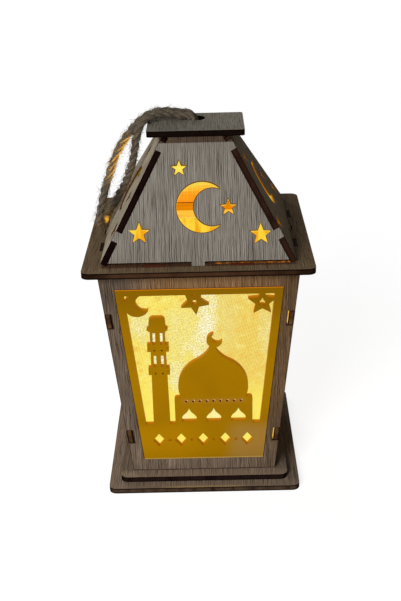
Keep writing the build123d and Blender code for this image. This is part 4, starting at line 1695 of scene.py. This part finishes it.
@dataclass
class Base:
    """Two stepped plates under the walls."""

    lower: PlateFinish = PlateFinish(
        paint(136, 120, 104), paint(100, 86, 72), paint(158, 142, 125), core=paint(86, 68, 54),
        core_share=0.85, dim_from=44.5 * MM, dim_right=0.3, front_highlight_share=0.55)
    upper: PlateFinish = PlateFinish(
        paint(144, 127, 109), paint(104, 90, 76), paint(168, 150, 132), core=paint(46, 32, 28),
        dim_from=38.0 * MM, dim_left=0.4, dim_right=0.4)
    lower_seed: float = 40.0
    upper_seed: float = 47.0

    def dress(self) -> None:
        """Finish both plates."""
        for name, finish, seed in (("lower_base_plate", self.lower, self.lower_seed),
                                   ("upper_base_plate", self.upper, self.upper_seed)):
            dress_node(name, finish.dress(name + "_board", SheetPlace.of_node(name), seed))


@dataclass
class Body:
    """Four walls with their screens and films."""

    board: WallFinish = WallFinish(
        paint(122, 106, 91), paint(81, 67, 57), paint(154, 137, 121), core=paint(106, 76, 48),
        core_share=0.85)
    front_tab: Colour = paint(92, 46, 31)
    # on the walls these lines are laser scorch and also painted shade in the narrow gap round each screen
    scorch: ScorchLines = ScorchLines(MouldedFinish(paint(70, 48, 36), paint(46, 31, 24), 0.8), 0.3 * MM)
    gold: GoldFinish = GoldFinish()
    film: FilmFinish = FilmFinish()
    wall_seeds: Span = (3.0, 13.0)
    screen_seeds: Span = (0.0, 5.0)
    film_seeds: Span = (2.0, 9.0)

    def dress(self) -> None:
        """Finish every wall, screen and film."""
        for place, side in enumerate(Side):
            wall, screen, film = (side.value + part for part in ("_wall", "_screen", "_diffuser"))
            wall_seed, screen_seed, film_seed = (
                first + step * place for first, step in (self.wall_seeds, self.screen_seeds, self.film_seeds))
            tab_end = self.front_tab if side is Side.FRONT else self.board.tab_end
            board = replace(self.board, leak=float(side is Side.RIGHT), tab_end=tab_end)
            dress_node(wall, board.dress(wall + "_board", SheetPlace.of_node(wall), wall_seed))
            self.scorch.draw(wall, lambda end: True)
            dress_node(screen, self.gold.dress(screen + "_gold", SheetPlace.of_node(screen), screen_seed))
            dress_node(film, self.film.dress(film + "_film", SheetPlace.of_node(film), film_seed))


@dataclass
class Roof:
    """Eave plate, four panels with cut-outs and the cap plate."""

    eave: EaveFinish = EaveFinish(
        paint(122, 103, 79), paint(90, 74, 57), paint(140, 120, 96), core=paint(75, 50, 33),
        core_share=0.9, core_even=0.6, dim_from=47.0 * MM, dim_left=0.2, dim_right=0.16,
        grain_width=0.4 * MM)
    panel: PanelFinish = PanelFinish(
        paint(132, 126, 118), paint(82, 76, 71), paint(157, 151, 144), scorch=paint(16, 6, 5),
        core=paint(34, 18, 14), grain_width=0.34 * MM, grain_length=20.0 * MM, line_spacing=3.0,
        line_share=0.06, pore_share=0.28)
    # lighter copy of the panel board: painted light on the lit left side
    left_panel: PanelFinish = PanelFinish(
        paint(158, 147, 128), paint(124, 114, 98), paint(178, 168, 150), scorch=paint(16, 6, 5),
        core=paint(34, 18, 14), cut_share=0.25)
    # darker copy of the panel board: painted shade on the right side
    right_panel: PanelFinish = PanelFinish(
        paint(115, 98, 74), paint(84, 70, 52), paint(136, 118, 94), scorch=paint(34, 19, 14),
        core=paint(54, 34, 25), cut_share=0.75)
    cap: PlateFinish = PlateFinish(
        paint(133, 127, 116), paint(108, 102, 93), paint(150, 144, 134), scorch=paint(12, 7, 5),
        core=paint(26, 16, 12))
    glue: MouldedFinish = MouldedFinish(paint(44, 26, 16), paint(24, 14, 9), 0.55)
    glue_width: float = 2.2 * MM
    glue_gap: float = 0.05 * MM
    scorch: ScorchLines = ScorchLines(MouldedFinish(paint(98, 60, 26), paint(72, 44, 22), 0.8))
    rim_inset: float = 6.0 * MM
    eave_seed: float = 61.0
    cap_seed: float = 71.0
    panel_seeds: Span = (17.0, 19.0)

    def seal(self) -> None:
        """Run a line of dried glue up each hip, on the inside."""
        shape = RoofShape.read()
        inset = self.panel.thickness / shape.lean + self.glue_gap
        vertices, faces = [], []
        for right, back in ((-1, -1), (1, -1), (1, 1), (-1, 1)):
            first = len(vertices)
            for level in (shape.foot + self.glue_gap, shape.head - self.glue_gap):
                half = shape.half_at(level) - inset
                near = half - self.glue_width
                vertices += [(right * half, back * half, level), (right * near, back * half, level),
                             (right * half, back * near, level)]
            order = (0, 1, 2) if right * back > 0 else (0, 2, 1)
            low, high = [first + corner for corner in order], [first + 3 + corner for corner in order]
            faces += [tuple(reversed(low)), tuple(high)]
            faces += [(low[side], low[(side + 1) % 3], high[(side + 1) % 3], high[side]) for side in range(3)]
        piece("hip_glue", vertices, faces, self.glue.dress("dried_glue"), "lantern", smooth=False)

    def dress(self) -> None:
        """Finish the plates and the panels."""
        shape = RoofShape.read()
        eave, cap = (SheetPlace.of_node(name) for name in ("eave_plate", "cap_plate"))
        dress_node("eave_plate", self.eave.dress("eave_board", eave, self.eave_seed))
        dress_node("cap_plate", self.cap.dress("cap_board", cap, self.cap_seed))
        side_panels = {Side.LEFT: self.left_panel, Side.RIGHT: self.right_panel}
        first_seed, seed_step = self.panel_seeds
        for place, side in enumerate(Side):
            name = side.value + "_roof_panel"
            sheet = SheetPlace.of_node(name)
            finish = side_panels.get(side, self.panel)
            dress_node(name, finish.dress(name + "_board", sheet, first_seed + seed_step * place))
            self.scorch.draw(name, lambda end: shape.from_rim(end, sheet) > self.rim_inset)


@dataclass
class RopeHandle:
    """Jute rope through the cap, slung over its edge onto the left roof panel."""

    diameter: float = 4.2 * MM
    step: float = 0.4 * MM
    spline_steps: int = 16
    fuzz_count: int = 2000
    fuzz_length: Span = mm(1.0, 4.2)
    fuzz_radius: float = 0.07 * MM
    fuzz_taper: float = 0.7
    fuzz_sides: int = 3
    fuzz_root: float = 0.44
    fuzz_out: Span = (0.25, 0.9)
    fuzz_lean: Span = (0.5, 1.6)
    fuzz_sideways: Span = (-0.8, 0.8)
    fuzz_droop: Span = (0.0, 0.35)
    fuzz_shares: tuple[float, ...] = (0.0, 0.4, 0.75, 1.0)
    fuzz_axis: Point = (0.2, 0.5, 1.0)
    bare_steps: int = 24
    knot_ring: float = 3.3 * MM
    knot_swing: float = 1.9 * MM
    knot_rounds: float = 2.0
    knot_waves: float = 1.5
    knot_points: int = 260
    route: tuple[Point, ...] = (
        (0.0, 4.7, 181.6), (-0.2, 4.7, 188.4), (-9.6, 2.2, 189.8), (-18.6, -1.6, 191.8), (-26.6, -4.2, 189.2),
        (-30.0, -4.0, 180.0), (-31.6, -1.6, 169.6), (-34.4, 3.0, 160.6), (-38.0, 7.6, 151.8),
        (-42.8, 11.0, 143.4), (-47.4, 11.6, 135.4), (-51.2, 5.6, 132.0), (-51.6, -1.8, 135.6),
        (-49.6, -4.4, 144.4), (-47.0, -3.6, 153.8), (-43.6, -1.8, 163.2), (-40.0, -0.4, 172.4),
        (-34.4, 0.2, 180.6), (-27.0, 1.0, 188.8), (-17.8, 4.4, 191.6), (-8.8, 7.4, 189.8),
        (-0.2, 9.3, 188.4), (0.0, 9.3, 181.6))
    jute: JuteFinish = JuteFinish()
    seed: int = 20

    def line(self) -> np.ndarray:
        """Read the rope's smooth line from its spline.

        Returns:
            Points at even steps along it.
        """
        curve = bpy.data.curves.new("rope_route", "CURVE")
        curve.dimensions = "3D"
        spline = curve.splines.new("NURBS")
        spline.points.add(len(self.route) - 1)
        for point, place in zip(spline.points, self.route):
            point.co = (*mm(*place), 1.0)
        spline.order_u = 3
        spline.use_endpoint_u = True
        spline.resolution_u = self.spline_steps
        carrier = bpy.data.objects.new("rope_route", curve)
        bpy.context.scene.collection.objects.link(carrier)
        bpy.context.view_layer.update()
        mesh = bpy.data.meshes.new_from_object(carrier)
        points = np.array([vertex.co for vertex in mesh.vertices])
        bpy.data.objects.remove(carrier)
        bpy.data.curves.remove(curve)
        bpy.data.meshes.remove(mesh)
        return resample(points, self.step)

    def build(self) -> None:
        """Make the rope, its knot and its loose fibres."""
        rng = random.Random(self.seed)
        finish = self.jute.dress("jute")
        line = self.line()
        strands = StrandMesh(line, self.diameter).build(rng)
        rope = strands.make("jute_rope", finish, "lantern")
        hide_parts("rope_loop")
        knot = self._knot(rng, finish)
        fuzz = self._fuzz(rng, strands, finish)

    def _knot(self, rng: random.Random, finish: bpy.types.Material) -> bpy.types.Object:
        """Knot the rope's ends under the cap.

        Args:
            rng: Seeded source of the strands' unevenness.
            finish: Material of the rope.

        Returns:
            The knot.
        """
        low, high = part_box("rope_knot")
        angle = np.linspace(0.0, self.knot_rounds * FULL_TURN, self.knot_points)
        wave = self.knot_waves * angle
        reach = self.knot_ring + self.knot_swing * np.cos(wave)
        lift = self.knot_swing * np.sin(wave)
        path = np.stack((reach * np.cos(angle), reach * np.sin(angle), lift), axis=1)
        strands = StrandMesh(np.array((low + high) / 2.0) + path, self.diameter).build(rng)
        knot = strands.make("jute_knot", finish, "lantern")
        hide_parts("rope_knot")
        return knot

    def _fuzz(self, rng: random.Random, strands: StrandMesh, finish: bpy.types.Material) -> bpy.types.Object:
        """Grow the loose fibres that stand off the rope.

        Args:
            rng: Seeded source of their places.
            strands: The rope that they grow from.
            finish: Material of the rope.

        Returns:
            All the fibres as one piece.
        """
        forward, beside, over = strands.frames()
        vertices, faces = [], []
        for _ in range(self.fuzz_count):
            place = rng.randrange(self.bare_steps, len(forward) - self.bare_steps)
            turn = rng.uniform(0.0, FULL_TURN)
            out = math.cos(turn) * beside[place] + math.sin(turn) * over[place]
            lean = rng.choice((-1.0, 1.0)) * rng.uniform(*self.fuzz_lean)
            side = np.cross(forward[place], out) * rng.uniform(*self.fuzz_sideways)
            heading = out * rng.uniform(*self.fuzz_out) + forward[place] * lean + side
            heading /= np.linalg.norm(heading)
            root = strands.line[place] + out * self.diameter * self.fuzz_root
            length = rng.uniform(*self.fuzz_length)
            droop = np.array((0.0, 0.0, -rng.uniform(*self.fuzz_droop)))
            points = [root + heading * length * share + droop * length * share ** 2
                      for share in self.fuzz_shares]
            self._fibre(points, vertices, faces)
        made = piece("jute_fibres", vertices, faces, finish, "lantern")
        made.data.uv_layers.new(name=StrandMesh.MAP)
        return made

    def _fibre(self, points: Sequence[np.ndarray], vertices: list, faces: list) -> None:
        """Add one tapering fibre.

        Args:
            points: Points that it runs through.
            vertices: Corner points so far, which grow.
            faces: Faces so far, which grow.
        """
        first, sides, steps = len(vertices), self.fuzz_sides, len(points) - 1
        ahead = points[-1] - points[0]
        side = np.cross(ahead, self.fuzz_axis)
        side /= np.linalg.norm(side)
        over = np.cross(ahead / np.linalg.norm(ahead), side)
        for step, point in enumerate(points):
            radius = self.fuzz_radius * (1.0 - self.fuzz_taper * step / steps)
            for corner in range(sides):
                angle = FULL_TURN * corner / sides
                vertices.append(point + (math.cos(angle) * side + math.sin(angle) * over) * radius)
        for step in range(steps):
            low, high = first + sides * step, first + sides * (step + 1)
            for corner in range(sides):
                after = (corner + 1) % sides
                faces.append((low + corner, low + after, high + after, high + corner))
        last = first + sides * steps
        faces.append(tuple(first + corner for corner in reversed(range(sides))))
        faces.append(tuple(last + corner for corner in range(sides)))


@dataclass
class LightUnit:
    """Small battery light that goes up into the base."""

    case: MouldedFinish = MouldedFinish(paint(226, 222, 212), paint(206, 201, 190))
    lens: MouldedFinish = MouldedFinish(
        paint(255, 236, 190), paint(255, 222, 160), 0.3, 0.7 * MM, paint(255, 214, 120), 0.9)
    diode: MouldedFinish = MouldedFinish(
        paint(255, 240, 200), paint(255, 226, 160), 0.2, 0.4 * MM, paint(255, 232, 170), 1.0)
    black: MouldedFinish = MouldedFinish(paint(34, 34, 36), paint(24, 24, 26), 0.5)
    board: CircuitFinish = CircuitFinish()
    steel: PlatedFinish = PlatedFinish(paint(196, 198, 200), paint(168, 170, 172))
    nickel: PlatedFinish = PlatedFinish(paint(208, 202, 190), paint(178, 172, 158), 0.24)

    def dress(self) -> None:
        """Finish every piece of the light."""
        finishes = {
            "light_housing": self.case.dress("light_case"),
            "battery_hatch": self.case.dress("hatch_case"),
            "light_lens": self.lens.dress("lens"),
            "light_diode": self.diode.dress("diode"),
            "light_board": self.board.dress("circuit_board"),
            "coin_cell": self.steel.dress("cell_steel"),
            "cell_side_contact": self.nickel.dress("side_contact_nickel"),
            "cell_top_contact": self.nickel.dress("top_contact_nickel"),
            "switch_body": self.black.dress("switch_case"),
            "switch_knob": self.black.dress("switch_knob_plastic"),
        }
        for name, finish in finishes.items():
            dress_node(name, finish)


# Studio


@dataclass
class Studio:
    """Pale floor, soft lights and the camera."""

    image: tuple[int, int] = (401, 601)
    camera_place: Point = mm(5.666, -494.758, 314.580)
    camera_near: float = 0.01
    focal_pixels: float = 1009.144
    pitch: float = 24.5643
    yaw: float = -0.65045
    roll: float = -1.56358
    sensor: float = 36.0
    floor_half: float = 6.0
    floor_reach: Span = (0.12, 0.45)
    floor_bounce: float = 0.5
    floor_cover: Span = (0.36, 0.0)
    floor_shine: Span = (0.83, 1.0)
    ambient: float = 0.11
    aim: Point = (0.0, 0.0, 0.1)
    key_place: Point = (-0.58, -1.24, 0.72)
    key_power: float = 20.0
    key_size: float = 0.6
    key_colour: Point = (1.0, 0.985, 0.945)
    fill_place: Point = (-0.62, 1.15, 0.5)
    fill_power: float = 9.0
    fill_size: float = 0.6

    def build(self) -> None:
        """Set the floor, world, lights and camera."""
        self._floor()
        self._world()
        self._lamp("key", self.key_place, self.key_power, self.key_size).color = self.key_colour
        self._lamp("fill", self.fill_place, self.fill_power, self.fill_size)
        self._camera()
        bpy.context.scene.view_settings.view_transform = "Standard"

    def _floor(self) -> None:
        """Lay a white floor that keeps a faint shadow and shows nothing from below."""
        half = self.floor_half
        mesh = bpy.data.meshes.new("floor")
        corners = [(-half, -half, 0.0), (half, -half, 0.0), (half, half, 0.0), (-half, half, 0.0)]
        mesh.from_pydata(corners, [], [(0, 1, 2, 3)])
        surface = Surface("floor_white")
        seen = self._seen(surface)
        reach = surface.node("VectorMath", {"operation": "LENGTH"}, {0: surface.place()}, "Value")
        far = reach.rise(*self.floor_reach)
        cover, shine = (surface.mix(far, *(grey(level) for level in levels))
                        for levels in (self.floor_cover, self.floor_shine))
        bounce = surface.mix(seen, grey(self.floor_bounce), cover)
        matt = surface.node("BsdfDiffuse", NOTHING, {"Color": bounce})
        bright = surface.node("Emission", NOTHING, {"Color": surface.mix(seen, grey(0.0), shine)})
        lit = surface.node("AddShader", NOTHING, {0: matt, 1: bright})
        under = surface.node("NewGeometry", out="Backfacing")
        clear = surface.node("BsdfTransparent")
        shown = surface.node("MixShader", NOTHING, {0: under, 1: lit, 2: clear})
        mesh.materials.append(surface.finish(shown))
        floor = bpy.data.objects.new("floor", mesh)
        bpy.context.scene.collection.objects.link(floor)

    @staticmethod
    def _seen(surface: Surface) -> Wire:
        """One for rays of the camera, of gloss and through glass.

        Args:
            surface: Tree that takes the nodes.

        Returns:
            One or zero.
        """
        camera, gloss, glass = (surface.node("LightPath", out=name) for name in (
            "Is Camera Ray", "Is Glossy Ray", "Is Transmission Ray"))
        return camera.larger(gloss).larger(glass)

    def _world(self) -> None:
        """Show white where the world is seen, and give soft grey light elsewhere."""
        surface = Surface("studio", world=True)
        colour = surface.mix(self._seen(surface), grey(self.ambient), grey(1.0))
        bpy.context.scene.world = surface.finish(surface.node("Background", NOTHING, {"Color": colour}))

    def _lamp(self, name: str, place: Point, power: float, size: float) -> bpy.types.AreaLight:
        """Hang a soft square lamp that looks at the lantern.

        Args:
            name: Name of the lamp.
            place: Where it hangs.
            power: Its power in watts.
            size: Its width in metres.

        Returns:
            The lamp.
        """
        lamp = bpy.data.lights.new(name, "AREA")
        lamp.energy = power
        lamp.size = size
        made = bpy.data.objects.new(name, lamp)
        made.location = place
        made.rotation_euler = (Vector(self.aim) - Vector(place)).to_track_quat("-Z", "Y").to_euler()
        made.visible_camera = False
        made.visible_glossy = False
        bpy.context.scene.collection.objects.link(made)
        return lamp

    def _camera(self) -> None:
        """Set the camera at the photograph's place and angle."""
        pitch, yaw, roll = (math.radians(value) for value in (self.pitch, self.yaw, self.roll))
        forward = Vector((math.sin(yaw) * math.cos(pitch), math.cos(yaw) * math.cos(pitch), -math.sin(pitch)))
        level = Vector((math.cos(yaw), -math.sin(yaw), 0.0))
        upright = level.cross(forward)
        right = math.cos(roll) * level + math.sin(roll) * upright
        upward = math.cos(roll) * upright - math.sin(roll) * level
        camera = bpy.data.cameras.new("camera")
        camera.sensor_width = self.sensor
        camera.lens = self.focal_pixels * self.sensor / max(self.image)
        camera.clip_start = self.camera_near
        made = bpy.data.objects.new("camera", camera)
        turn = Matrix((right, upward, -forward)).transposed().to_4x4()
        made.matrix_world = Matrix.Translation(self.camera_place) @ turn
        bpy.context.scene.collection.objects.link(made)
        bpy.context.scene.camera = made


def main() -> None:
    """Build the lantern's looks in order."""
    logging.basicConfig(level=logging.INFO)
    Studio().build()
    RopeHandle().build()
    Base().dress()
    Body().dress()
    roof = Roof()
    roof.seal()
    roof.dress()
    LightUnit().dress()


if __name__ == "__main__":
    main()
